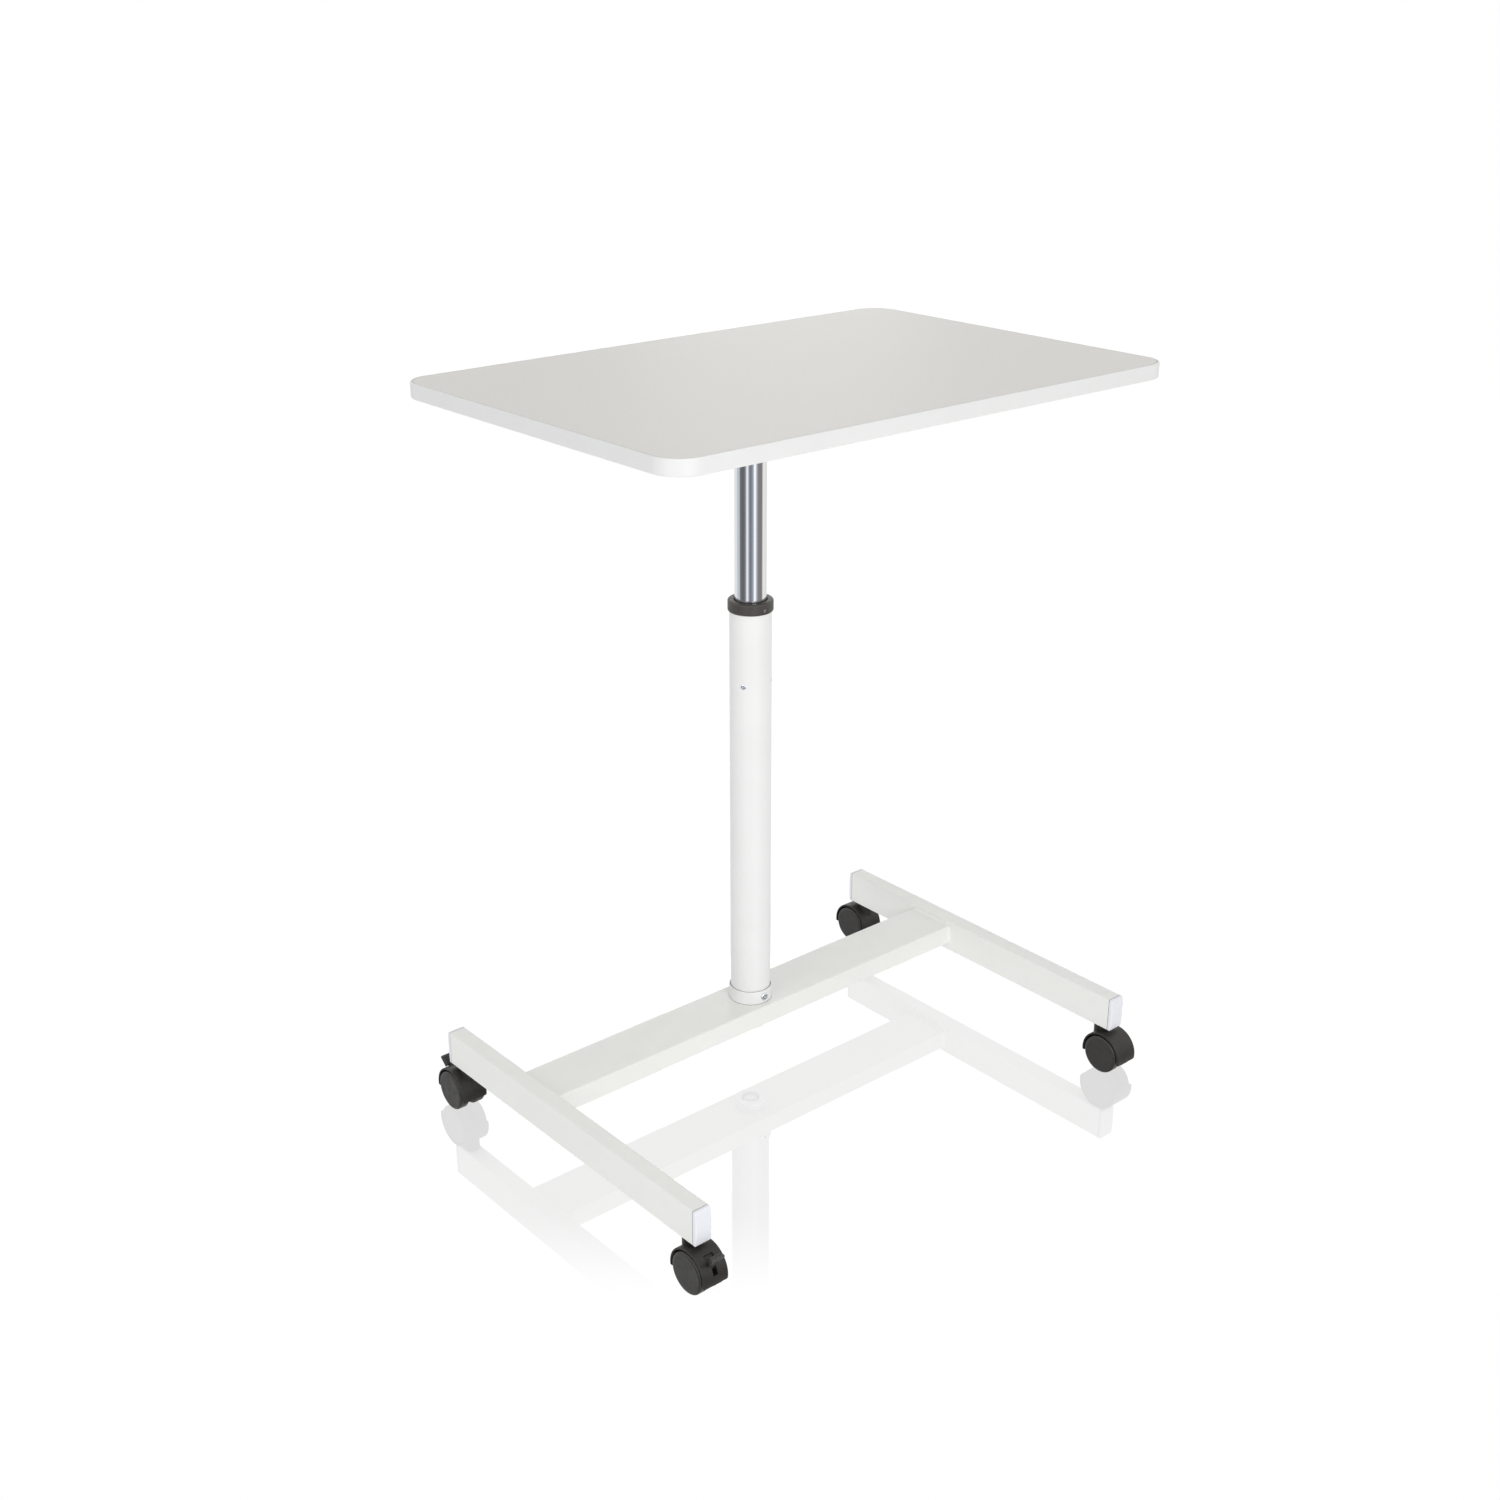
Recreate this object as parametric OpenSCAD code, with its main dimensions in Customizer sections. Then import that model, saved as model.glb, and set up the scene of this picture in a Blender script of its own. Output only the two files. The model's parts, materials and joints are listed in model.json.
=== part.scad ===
// Overbed table: a laminated top on a telescopic gas-spring column, standing on a welded
// H-shaped frame with four twin-wheel castors. The two castors on the left foot have brakes.
//
// Frame: origin on the floor under the centre of the foot rails, +Z up. X runs along the
// cross rail (left foot at -X), Y runs along the foot rails (front, the user's side, at -Y).
// Units are millimetres. Every module draws its piece in place.

/* [Table top] */
// Width of the top, along the cross rail
top_w = 800; // [700:10:900]
// Depth of the top, along the foot rails
top_d = 535; // [500:5:560]
// Finished thickness of the top
top_t = 20; // [16:1:28]
// Corner radius of the top, seen from above
top_corner = 38; // [20:1:60]
// Height of the top's upper face at rest
top_z = 1025; // [1025:1:1060]
// Thickness of the moulded edge band
band_t = 3; // [2:0.5:4]

/* [Base frame] */
// Length of a foot rail with both end caps
foot_l = 549; // [530:1:620]
// Width of a foot rail
foot_w = 25; // [24:1:30]
// Height of a foot rail
foot_h = 50; // [46:1:56]
// Distance between the two foot rails, centre to centre
foot_spacing = 766; // [700:2:800]
// Distance from the column axis to the rear end of the foot rails
column_set_back = 186; // [175:1:230]
// Width of the cross rail
cross_w = 80; // [76:1:90]
// Height of the cross rail
cross_h = 30; // [28:1:34]
// Step from the top of a foot rail down to the top of the cross rail
cross_drop = 8; // [5:1:10]

/* [Column] */
// Outer diameter of the fixed outer tube
outer_d = 57; // [56:0.5:60]
// Outer diameter of the sliding inner tube
inner_d = 43; // [42:0.5:45]
// Top end of the outer tube above the floor
outer_top = 706; // [690:1:706]
// Travel of the top above its rest height
lift_up = 130; // [80:5:130]
// Travel of the top below its rest height
lift_down = 250; // [150:5:250]

/* [Castors] */
// Wheel diameter
wheel_d = 56; // [50:1:56]
// Width of one wheel of the pair
wheel_w = 13.5; // [12:0.5:15]
// Distance from the swivel axis back to the axle
trail = 16; // [14:0.5:18]
// Distance from the end of a foot rail to the castor's swivel axis
stem_inset = 26.5; // [25:0.5:32]
// Width of the hood over the wheels
hood_w = 38.2; // [36:0.2:40]

/* [Fits] */
// Radial clearance of every running and sliding fit
gap = 0.05; // [0.02:0.01:0.1]

/* [Hidden] */
$fn = 96;

// Colours
paint_white = [0.92, 0.92, 0.90];
cap_white = [0.90, 0.91, 0.93];
laminate_grey = [0.85, 0.84, 0.82];
board_tan = [0.78, 0.66, 0.48];
steel_bright = [0.80, 0.81, 0.83];
zinc = [0.74, 0.76, 0.79];
plastic_black = [0.25, 0.24, 0.23];
wheel_black = [0.28, 0.27, 0.26];
spring_black = [0.12, 0.12, 0.13];

// Table top
skin_t = 0.8;
edge_low = band_t - 0.2;
edge_high = 1;
top_under = top_z - top_t;
top_y = 7;

// Base frame
castor_h = 67;
foot_top = castor_h + foot_h;
foot_x = foot_spacing / 2;
rail_wall = 2;
rail_edge = 2.5;
cap_t = 7;
cap_edge = 2.5;
cap_round = 5;
cap_crown_r = 133;
cap_plug = 9;
plug_wall = 2;
plug_slack = 0.2;
cross_top = foot_top - cross_drop;
cross_low = cross_top - cross_h;
cross_l = foot_spacing - foot_w;
bead = 5;
column_y = foot_l / 2 - column_set_back;

// Column socket, screwed and welded to the cross rail
socket_d = outer_d + 5;
socket_h = 20;
socket_floor = 3;
boss_d = 44;
boss_drop = 15;
stud_d = 12;
nut_pocket_d = 28;
nut_pocket_h = 12;
socket_screw_z = cross_top + 10;
screw_head_d = 11;
screw_head_h = 2.4;
spot_depth = 0.8;
screw_core_d = 6;
hex_key = 4;
hex_depth = 1.6;

// Column tubes
outer_wall = 2.5;
inner_wall = 2;
outer_low = cross_top + socket_floor;
collar_d = 61.5;
collar_h = 16;
collar_lip = 4;
collar_edge = 2.5;
collar_low = outer_top + collar_lip - collar_h;
collar_screw_d = 5;
collar_screw_z = collar_low + 5.5;
collar_screw_sink = 0.4;
collar_screw_key = 2.5;
sleeve_l = 126;
sleeve_low = outer_top - sleeve_l;
guide_screw_z = 594;
guide_screw_d = 4;
guide_head_d = 7;
guide_head_h = 1;
ring_h = 40;
ring_play = 5;
inner_top = top_under - 22;
inner_low = sleeve_low - lift_up - ring_h - ring_play;

// Gas spring, rod fixed to the base and cylinder carried by the inner tube
rod_d = 10;
rod_shoulder_d = 18;
rod_shoulder_h = 4;
piston_d = 24.8;
piston_h = 8;
piston_top = 700;
piston_play = 17;
spring_d = 28;
spring_wall = 1.5;
gland_h = 15;
spring_low = piston_top - piston_h - gland_h - lift_up - piston_play;
spring_top = inner_top - 15;
spring_neck_d = 14;
valve_d = 6;
valve_depth = 18;
valve_reach = 6;

// Head of the column, under the table top
plate_w = 300;
plate_d = 150;
plate_t = 4;
plate_corner = 15;
plate_low = top_under - plate_t;
plate_screw_x = 130;
plate_screw_y = 55;
plate_screw_d = 5;
plate_screw_l = 14;
plate_head_d = 9.5;
plate_head_h = 3;
head_d = 52;
head_h = 36;
head_low = plate_low - head_h;
lever_w = 10;
lever_t = 6;
lever_slot_w = lever_w + 2;
lever_slot_h = 17;

// Release lever, pivoting in a bracket beside the column and reaching to the right
// edge of the top; distances are from the column's axis
pivot_reach = 35;
pivot_d = 6;
lever_gap = 0.05;
valve_top = inner_top + valve_reach;
lever_low = valve_top + lever_gap;
pivot_z = lever_low + lever_t / 2;
lever_boss_d = 12;
lever_rod_d = 8;
knee_reach = pivot_reach + 44;
knee_z = pivot_z - 22;
knee_d = 9;
grip_d = 18;
grip_l = 95;
grip_reach = top_w / 2 - 24;
grip_cover = 85;
ear_t = 3;
ear_gap = 0.5;
ear_r = 8;
pin_head_d = 10;
pin_head_h = 2;

// Castors
wheel_r = wheel_d / 2;
wheel_gap = 2.6;
hood_wall = 2.4;
hood_in_r = wheel_r + wheel_gap;
hood_r = hood_in_r + hood_wall;
hood_edge = 1;
hood_skirt_z = 21.5;
skirt_corner = 3;
web_w = 13;
side_gap = 0.5;
wheel_in = web_w / 2 + side_gap;
wheel_edge = 2.5;
wheel_rim = 3.5;
wheel_face = 2.6;
wheel_hub_d = 16;
wheel_ribs = 6;
wheel_rib_t = 1.6;
rib_set_back = 1.5;
axle_d = 6;
axle_bite = 0.4;
axle_l = 2 * (wheel_in + wheel_w - wheel_face + axle_bite);
neck_d = 21;
swivel_gap = 0.4;
neck_top_z = castor_h - swivel_gap;
stem_d = 8;
stem_low_z = 40;
stem_top_z = castor_h + 38;
flange_d = 14;
flange_h = 2.6;
insert_d = 16;
insert_h = 36;

// Brake lever, in axle coordinates: distance behind the axle, height above the axle
brake_w = 6.6;
brake_pocket_w = 7;
brake_pin_d = 3;
brake_pin_at = [20, 13.5];
brake_pocket_r = 9.5;
tab_root_w = 14;
tab_tip_w = 19.5;
tab_root = 25;
tab_flare = 37;
tab_end = 41;
tab_rise = 2.6;
brake_slot_low = 12;
brake_slot_high = 60;
brake_recess_w = 14;
brake_recess_low = 50;

// Castor positions: [x side, y side]
FRONT_LEFT = [-1, -1];
FRONT_RIGHT = [1, -1];
REAR_LEFT = [-1, 1];
REAR_RIGHT = [1, 1];
ALL_CASTORS = [FRONT_LEFT, FRONT_RIGHT, REAR_LEFT, REAR_RIGHT];

// ---------- helpers ----------

// Rectangle with four rounded corners, centred on the origin
module rounded_rect(w, d, r) {
    square([w - 2 * r, d], center = true);
    square([w, d - 2 * r], center = true);
    for (sx = [-1, 1], sy = [-1, 1])
        translate([sx * (w / 2 - r), sy * (d / 2 - r)])
            circle(r);
}

// Section of a rectangular tube
module box_section(w, h) {
    difference() {
        rounded_rect(w, h, rail_edge);
        rounded_rect(w - 2 * rail_wall, h - 2 * rail_wall, rail_edge - rail_wall + 0.5);
    }
}

// Cylinder lying along X, centred on the origin
module cyl_x(d, l) {
    rotate([0, 90, 0])
        cylinder(d = d, h = l, center = true);
}

// Plain tube standing on z = 0
module tube(od, id, h) {
    difference() {
        cylinder(d = od, h = h);
        translate([0, 0, -1])
            cylinder(d = id, h = h + 2);
    }
}

// Moves a piece to the column's axis
module on_column(z = 0) {
    translate([0, column_y, z])
        children();
}

// Moves a piece drawn about a swivel axis to one castor; rear castors are turned about
module at_castor(place) {
    translate([place[0] * foot_x, place[1] * (foot_l / 2 - stem_inset), 0])
        rotate([0, 0, place[1] < 0 ? 0 : 180])
            children();
}

// Moves a piece drawn about the axle to the axle of a castor that trails towards -Y
module on_axle() {
    translate([0, -trail, wheel_r])
        children();
}

// Moves a piece drawn from the column's axis towards -Y to the lever's side of the column
module on_lever_side(z = 0) {
    on_column(z)
        rotate([0, 0, 90])
            children();
}

// Cylinder pointing outwards from the column's axis, between two radii
module radial(d, from, to, z, azimuth) {
    on_column(z)
        rotate([0, 0, azimuth])
            translate([from, 0, 0])
                rotate([0, 90, 0])
                    cylinder(d = d, h = to - from);
}

// Flat polygon in the plane behind the axle, extruded across the castor
module behind_axle(w) {
    rotate([90, 0, -90])
        linear_extrude(height = w, center = true)
            children();
}

// ---------- base frame ----------

module cross_rail() {
    color(paint_white)
        difference() {
            translate([0, column_y, cross_top - cross_h / 2])
                rotate([90, 0, 90])
                    linear_extrude(height = cross_l, center = true)
                        box_section(cross_w, cross_h);
            on_column(cross_low - 1)
                cylinder(d = boss_d, h = cross_h + 2);
        }
}

module foot_rail(side) {
    difference() {
        translate([side * foot_x, 0, castor_h + foot_h / 2])
            rotate([90, 0, 0])
                linear_extrude(height = foot_l - 2 * cap_t, center = true)
                    box_section(foot_w, foot_h);
        for (end = [-1, 1])
            translate([side * foot_x, end * (foot_l / 2 - stem_inset), castor_h - 1])
                cylinder(d = stem_d, h = rail_wall + 2);
    }
}

module foot_rail_left() {
    color(paint_white)
        foot_rail(-1);
}

module foot_rail_right() {
    color(paint_white)
        foot_rail(1);
}

// End cap, its flange standing on the plane y = 0. Its sides have small edges; its top and
// bottom edges are rounder, and its face is slightly crowned from top to bottom
module foot_cap() {
    intersection() {
        rotate([-90, 0, 0])
            linear_extrude(height = cap_t)
                rounded_rect(foot_w, foot_h, rail_edge);
        linear_extrude(height = foot_h, center = true)
            rounded_rect(foot_w, 2 * cap_t, cap_edge);
        rotate([90, 0, 90])
            linear_extrude(height = foot_w, center = true)
                rounded_rect(2 * cap_t, foot_h, cap_round);
        translate([0, cap_t - cap_crown_r, 0])
            cyl_x(2 * cap_crown_r, foot_w);
    }
    plug_w = foot_w - 2 * rail_wall - plug_slack;
    plug_h = foot_h - 2 * rail_wall - plug_slack;
    rotate([90, 0, 0])
        linear_extrude(height = cap_plug)
            difference() {
                rounded_rect(plug_w, plug_h, plug_wall / 2);
                square([plug_w - 2 * plug_wall, plug_h - 2 * plug_wall], center = true);
            }
}

module foot_caps() {
    color(cap_white)
        for (place = ALL_CASTORS)
            translate([place[0] * foot_x, place[1] * (foot_l / 2 - cap_t), castor_h + foot_h / 2])
                rotate([0, 0, place[1] < 0 ? 180 : 0])
                    foot_cap();
}

// Hollow fillet of weld metal in the corner x < 0, z > 0, running along Y
module bead_along(l) {
    rotate([90, 0, 0])
        linear_extrude(height = l, center = true)
            difference() {
                translate([-bead, 0])
                    square(bead);
                translate([-bead, bead])
                    circle(bead);
            }
}

module weld_beads() {
    side_run = cross_h - 2 * rail_edge;
    top_run = cross_w - 2 * rail_edge;
    color(paint_white)
        for (side = [-1, 1])
            translate([side * cross_l / 2, column_y, 0])
                rotate([0, 0, side < 0 ? 180 : 0]) {
                    translate([0, 0, cross_top])
                        bead_along(top_run);
                    for (face = [-1, 1])
                        translate([0, face * cross_w / 2, cross_top - cross_h / 2])
                            rotate([face < 0 ? 90 : -90, 0, 0])
                                bead_along(side_run);
                }
}

module column_socket() {
    bore_z = cross_top + socket_floor;
    color(paint_white)
        difference() {
            on_column() {
                translate([0, 0, cross_top])
                    cylinder(d = socket_d, h = socket_h);
                translate([0, 0, cross_low - boss_drop])
                    cylinder(d = boss_d, h = cross_h + boss_drop);
            }
            on_column(bore_z)
                cylinder(d = outer_d, h = socket_h);
            on_column(cross_low - boss_drop - 1)
                cylinder(d = stud_d, h = cross_h + boss_drop + socket_floor + 2);
            on_column(cross_low - boss_drop - 1)
                cylinder(d = nut_pocket_d, h = nut_pocket_h + 1);
            radial(screw_core_d, outer_d / 2 - 1, socket_d, socket_screw_z, -90);
            radial(screw_head_d + 0.4, socket_d / 2 - spot_depth, socket_d, socket_screw_z, -90);
        }
}

// Button-head screw with a hexagon recess, its end resting on the outer tube
module socket_screw() {
    seat = socket_d / 2 - spot_depth;
    color(zinc)
        difference() {
            union() {
                radial(screw_core_d, outer_d / 2 + 0.1, seat, socket_screw_z, -90);
                radial(screw_head_d, seat, seat + screw_head_h, socket_screw_z, -90);
            }
            on_column(socket_screw_z)
                rotate([0, 0, -90])
                    translate([seat + screw_head_h - hex_depth, 0, 0])
                        rotate([0, 90, 0])
                            cylinder(d = hex_key / cos(30), h = 2 * hex_depth, $fn = 6);
        }
}

module outer_tube() {
    color(paint_white)
        difference() {
            on_column(outer_low)
                tube(outer_d, outer_d - 2 * outer_wall, outer_top - outer_low);
            for (azimuth = [90, 210, 330])
                radial(guide_screw_d, inner_d / 2, outer_d, guide_screw_z, azimuth);
        }
}

module tube_collar() {
    color(plastic_black)
        difference() {
            on_column(collar_low)
                rotate_extrude() {
                    square([collar_d / 2 - collar_edge, collar_h]);
                    translate([0, collar_edge])
                        square([collar_d / 2, collar_h - 2 * collar_edge]);
                    for (z = [collar_edge, collar_h - collar_edge])
                        translate([collar_d / 2 - collar_edge, z])
                            circle(collar_edge);
                }
            on_column(collar_low - 1)
                cylinder(d = outer_d, h = collar_h - collar_lip + 1);
            on_column(collar_low)
                cylinder(d = inner_d + 1.4, h = collar_h + 1);
            radial(collar_screw_d, outer_d / 2 - 1, collar_d, collar_screw_z, -90);
        }
}

module collar_screw() {
    face = collar_d / 2 - collar_screw_sink;
    color(zinc)
        difference() {
            radial(collar_screw_d, outer_d / 2, face, collar_screw_z, -90);
            on_column(collar_screw_z)
                rotate([0, 0, -90])
                    translate([face - hex_depth, 0, 0])
                        rotate([0, 90, 0])
                            cylinder(d = collar_screw_key / cos(30), h = 2 * hex_depth, $fn = 6);
        }
}

module guide_sleeve() {
    color(plastic_black)
        difference() {
            on_column(sleeve_low)
                tube(outer_d - 2 * outer_wall, inner_d + 2 * gap, sleeve_l);
            for (azimuth = [90, 210, 330])
                radial(guide_screw_d, inner_d / 2 + 1, outer_d, guide_screw_z, azimuth);
        }
}

module guide_screws() {
    color(zinc)
        for (azimuth = [90, 210, 330]) {
            radial(guide_screw_d, inner_d / 2 + 1, outer_d / 2, guide_screw_z, azimuth);
            radial(guide_head_d, outer_d / 2, outer_d / 2 + guide_head_h, guide_screw_z, azimuth);
        }
}

module spring_rod() {
    stud_low = cross_low - boss_drop + 2;
    color(steel_bright)
        on_column() {
            translate([0, 0, stud_low])
                cylinder(d = stud_d, h = outer_low - stud_low);
            translate([0, 0, outer_low])
                cylinder(d = rod_shoulder_d, h = rod_shoulder_h);
            translate([0, 0, outer_low])
                cylinder(d = rod_d, h = piston_top - outer_low);
            translate([0, 0, piston_top - piston_h])
                cylinder(d = piston_d, h = piston_h);
        }
}

// Washer and nut that clamp the spring's stud from below
module rod_fixings() {
    seat = cross_low - boss_drop + nut_pocket_h;
    washer_h = 2;
    nut_h = 7;
    nut_key = 19;
    color(zinc) {
        on_column(seat - washer_h)
            tube(nut_pocket_d - 2, stud_d, washer_h);
        on_column(seat - washer_h - nut_h)
            difference() {
                cylinder(d = nut_key / cos(30), h = nut_h, $fn = 6);
                translate([0, 0, -1])
                    cylinder(d = stud_d, h = nut_h + 2);
            }
    }
}

// Steel bushes inside the foot rails that hold the castor stems
module castor_inserts() {
    color(zinc)
        for (place = ALL_CASTORS)
            at_castor(place)
                translate([0, 0, castor_h + rail_wall])
                    tube(insert_d, stem_d, insert_h);
}

module castor_stems() {
    color(zinc)
        for (place = ALL_CASTORS)
            at_castor(place) {
                translate([0, 0, stem_low_z])
                    cylinder(d = stem_d, h = stem_top_z - stem_low_z);
                translate([0, 0, castor_h - flange_h])
                    cylinder(d = flange_d, h = flange_h);
            }
}

// ---------- table top ----------

// Outline inside the edge band
module inside_band() {
    translate([0, top_y])
        rounded_rect(top_w - 2 * band_t, top_d - 2 * band_t, top_corner - band_t);
}

// Holes for the screws of the mounting plate
module at_plate_screws() {
    for (sx = [-1, 1], sy = [-1, 1])
        translate([sx * plate_screw_x, column_y + sy * plate_screw_y, 0])
            children();
}

module top_board() {
    color(board_tan)
        difference() {
            translate([0, 0, top_under + skin_t])
                linear_extrude(height = top_t - 2 * skin_t)
                    inside_band();
            at_plate_screws()
                translate([0, 0, top_under])
                    cylinder(d = plate_screw_d, h = plate_screw_l);
        }
}

module top_laminate() {
    color(laminate_grey)
        translate([0, 0, top_z - skin_t])
            linear_extrude(height = skin_t)
                inside_band();
}

module under_laminate() {
    color(laminate_grey)
        difference() {
            translate([0, 0, top_under])
                linear_extrude(height = skin_t)
                    inside_band();
            at_plate_screws()
                translate([0, 0, top_under - 1])
                    cylinder(d = plate_screw_d, h = skin_t + 2);
        }
}

// Section of the edge band: inner face on x = 0, lower face on y = 0
module band_section() {
    intersection() {
        square([band_t, top_t]);
        union() {
            square([band_t - edge_low, top_t]);
            translate([0, edge_low])
                square([band_t, top_t - edge_low - edge_high]);
            translate([band_t - edge_low, edge_low])
                circle(edge_low);
            translate([0, top_t - edge_high - 1])
                square([band_t - edge_high, edge_high + 1]);
            translate([band_t - edge_high, top_t - edge_high])
                circle(edge_high);
        }
    }
}

module edge_band() {
    run_x = top_w - 2 * top_corner;
    run_y = top_d - 2 * top_corner;
    color(paint_white)
        translate([0, top_y, top_under])
            for (turn = [0, 1, 2, 3])
                rotate([0, 0, 90 * turn]) {
                    run = turn % 2 == 0 ? run_y : run_x;
                    reach = turn % 2 == 0 ? top_w / 2 : top_d / 2;
                    translate([reach - band_t, 0, 0])
                        rotate([90, 0, 0])
                            linear_extrude(height = run, center = true)
                                band_section();
                    translate([reach - top_corner, run / 2, 0])
                        rotate_extrude(angle = 90)
                            translate([top_corner - band_t, 0])
                                band_section();
                }
}

// ---------- head of the column ----------

module mounting_plate() {
    color(paint_white)
        difference() {
            on_column(plate_low)
                linear_extrude(height = plate_t)
                    rounded_rect(plate_w, plate_d, plate_corner);
            at_plate_screws()
                translate([0, 0, plate_low - 1])
                    cylinder(d = plate_screw_d, h = plate_t + 2);
        }
}

module plate_screws() {
    color(zinc)
        at_plate_screws() {
            translate([0, 0, plate_low - plate_head_h])
                difference() {
                    cylinder(d = plate_head_d, h = plate_head_h);
                    translate([0, 0, -1])
                        cylinder(d = hex_key / cos(30), h = 3, $fn = 6);
                }
            translate([0, 0, plate_low])
                cylinder(d = plate_screw_d, h = plate_t + plate_screw_l - 1);
        }
}

// Collar welded under the plate; the lever reaches the valve through a slot in its side
module head_socket() {
    color(paint_white)
        difference() {
            on_column(head_low)
                tube(head_d, inner_d, head_h);
            on_lever_side(plate_low - lever_slot_h)
                translate([-lever_slot_w / 2, -head_d, 0])
                    cube([lever_slot_w, head_d, lever_slot_h + 1]);
        }
}

module inner_tube() {
    color(steel_bright)
        on_column(inner_low)
            tube(inner_d, inner_d - 2 * inner_wall, inner_top - inner_low);
}

// Plug in the top of the inner tube that carries the gas spring
module tube_plug() {
    color(zinc)
        on_column(spring_top)
            tube(inner_d - 2 * inner_wall, spring_neck_d, inner_top - spring_top);
}

// Guide ring on the lower end of the inner tube
module slide_ring() {
    color(plastic_black)
        on_column(inner_low)
            tube(outer_d - 2 * outer_wall - 2 * gap, inner_d, ring_h);
}

module gas_cylinder() {
    chamber_d = spring_d - 2 * spring_wall;
    color(spring_black)
        on_column()
            difference() {
                union() {
                    translate([0, 0, spring_low])
                        cylinder(d = spring_d, h = spring_top - spring_low);
                    translate([0, 0, spring_top])
                        cylinder(d = spring_neck_d, h = inner_top - spring_top);
                }
                translate([0, 0, spring_low + gland_h])
                    cylinder(d = chamber_d, h = spring_top - spring_low - gland_h - 8);
                translate([0, 0, spring_low - 1])
                    cylinder(d = rod_d + 2 * gap, h = gland_h + 2);
                translate([0, 0, inner_top - valve_depth])
                    cylinder(d = valve_d + 2 * gap, h = valve_depth + 1);
            }
}

module lever_bracket() {
    color(paint_white)
        on_lever_side(pivot_z)
            for (side = [-1, 1])
                translate([side * (lever_w / 2 + ear_gap + ear_t / 2), -pivot_reach, 0])
                    difference() {
                        union() {
                            translate([-ear_t / 2, -ear_r, 0])
                                cube([ear_t, 2 * ear_r, plate_low - pivot_z]);
                            cyl_x(2 * ear_r, ear_t);
                        }
                        cyl_x(pivot_d, ear_t + 2);
                    }
}

module lever_pin() {
    pin_l = lever_w + 2 * ear_gap + 2 * ear_t;
    color(zinc)
        on_lever_side(pivot_z)
            translate([0, -pivot_reach, 0]) {
                cyl_x(pivot_d, pin_l);
                for (side = [-1, 1])
                    translate([side * (pin_l + pin_head_h) / 2, 0, 0])
                        cyl_x(pin_head_d, pin_head_h);
            }
}

// ---------- release lever and valve ----------

// Round bar between two points [reach, z] on the lever's side
module bar_between(from, to) {
    run = to - from;
    translate([0, -from[0], from[1]])
        rotate([atan2(run[0], run[1]), 0, 0])
            cylinder(d = lever_rod_d, h = norm(run));
}

module release_lever() {
    pivot = [pivot_reach, pivot_z];
    knee = [knee_reach, knee_z];
    arm_l = pivot_reach + valve_d / 2 + 1;
    bar_end = grip_reach - grip_l + grip_cover;
    color(spring_black)
        on_lever_side()
            difference() {
                union() {
                    translate([0, -pivot_reach, pivot_z])
                        cyl_x(lever_boss_d, lever_w);
                    translate([-lever_w / 2, -pivot_reach, lever_low])
                        cube([lever_w, arm_l, lever_t]);
                    bar_between(pivot, knee);
                    translate([0, -knee_reach, knee_z])
                        sphere(d = knee_d);
                    bar_between(knee, [bar_end, knee_z]);
                }
                translate([0, -pivot_reach, pivot_z])
                    cyl_x(pivot_d + 2 * gap, lever_w + 2);
            }
}

// Push-on grip with a domed end
module lever_grip() {
    dome = grip_d / 2;
    color(plastic_black)
        on_lever_side(knee_z)
            translate([0, -grip_reach, 0])
                difference() {
                    union() {
                        translate([0, dome, 0])
                            sphere(d = grip_d);
                        translate([0, dome, 0])
                            rotate([-90, 0, 0])
                                cylinder(d = grip_d, h = grip_l - dome);
                    }
                    translate([0, grip_l - grip_cover, 0])
                        rotate([-90, 0, 0])
                            cylinder(d = lever_rod_d, h = grip_cover + 1);
                }
}

module release_pin() {
    color(steel_bright)
        on_column(valve_top - valve_depth)
            cylinder(d = valve_d, h = valve_depth);
}

// ---------- castors ----------

// Arched cover over both wheels, with rounded outer rims
module hood_arch() {
    half = hood_w / 2;
    intersection() {
        rotate([0, 90, 0])
            rotate_extrude() {
                translate([hood_in_r, -half])
                    square([hood_wall - hood_edge, hood_w]);
                translate([hood_in_r, hood_edge - half])
                    square([hood_wall, hood_w - 2 * hood_edge]);
                for (side = [-1, 1])
                    translate([hood_r - hood_edge, side * (half - hood_edge)])
                        circle(hood_edge);
            }
        above_skirt(hood_w, skirt_corner);
    }
}

// Everything above the lower edge of the hood's skirt, with rounded lower corners
module above_skirt(w, corner) {
    tall = 2 * hood_r;
    translate([0, 0, hood_skirt_z - wheel_r + tall / 2])
        rotate([90, 0, 0])
            linear_extrude(height = 4 * hood_r, center = true)
                rounded_rect(w, tall, corner);
}

// Wedge of the plane behind the axle between two angles above the axle, reaching at least r
module wedge(low, high, r) {
    reach = r / cos((high - low) / 4);
    polygon([
        [0, 0],
        for (angle = [low, (low + high) / 2, high])
            reach * [cos(angle), sin(angle)]
    ]);
}

// Room for the brake lever inside the web and through the arch
module brake_pocket() {
    behind_axle(brake_pocket_w) {
        translate(brake_pin_at)
            circle(brake_pocket_r);
        difference() {
            wedge(brake_slot_low, brake_slot_high, hood_r + 4);
            circle(hood_in_r - 8);
        }
    }
    behind_axle(brake_recess_w)
        difference() {
            wedge(brake_recess_low, brake_slot_high, hood_r + 4);
            circle(hood_in_r - 0.6);
        }
}

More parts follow.
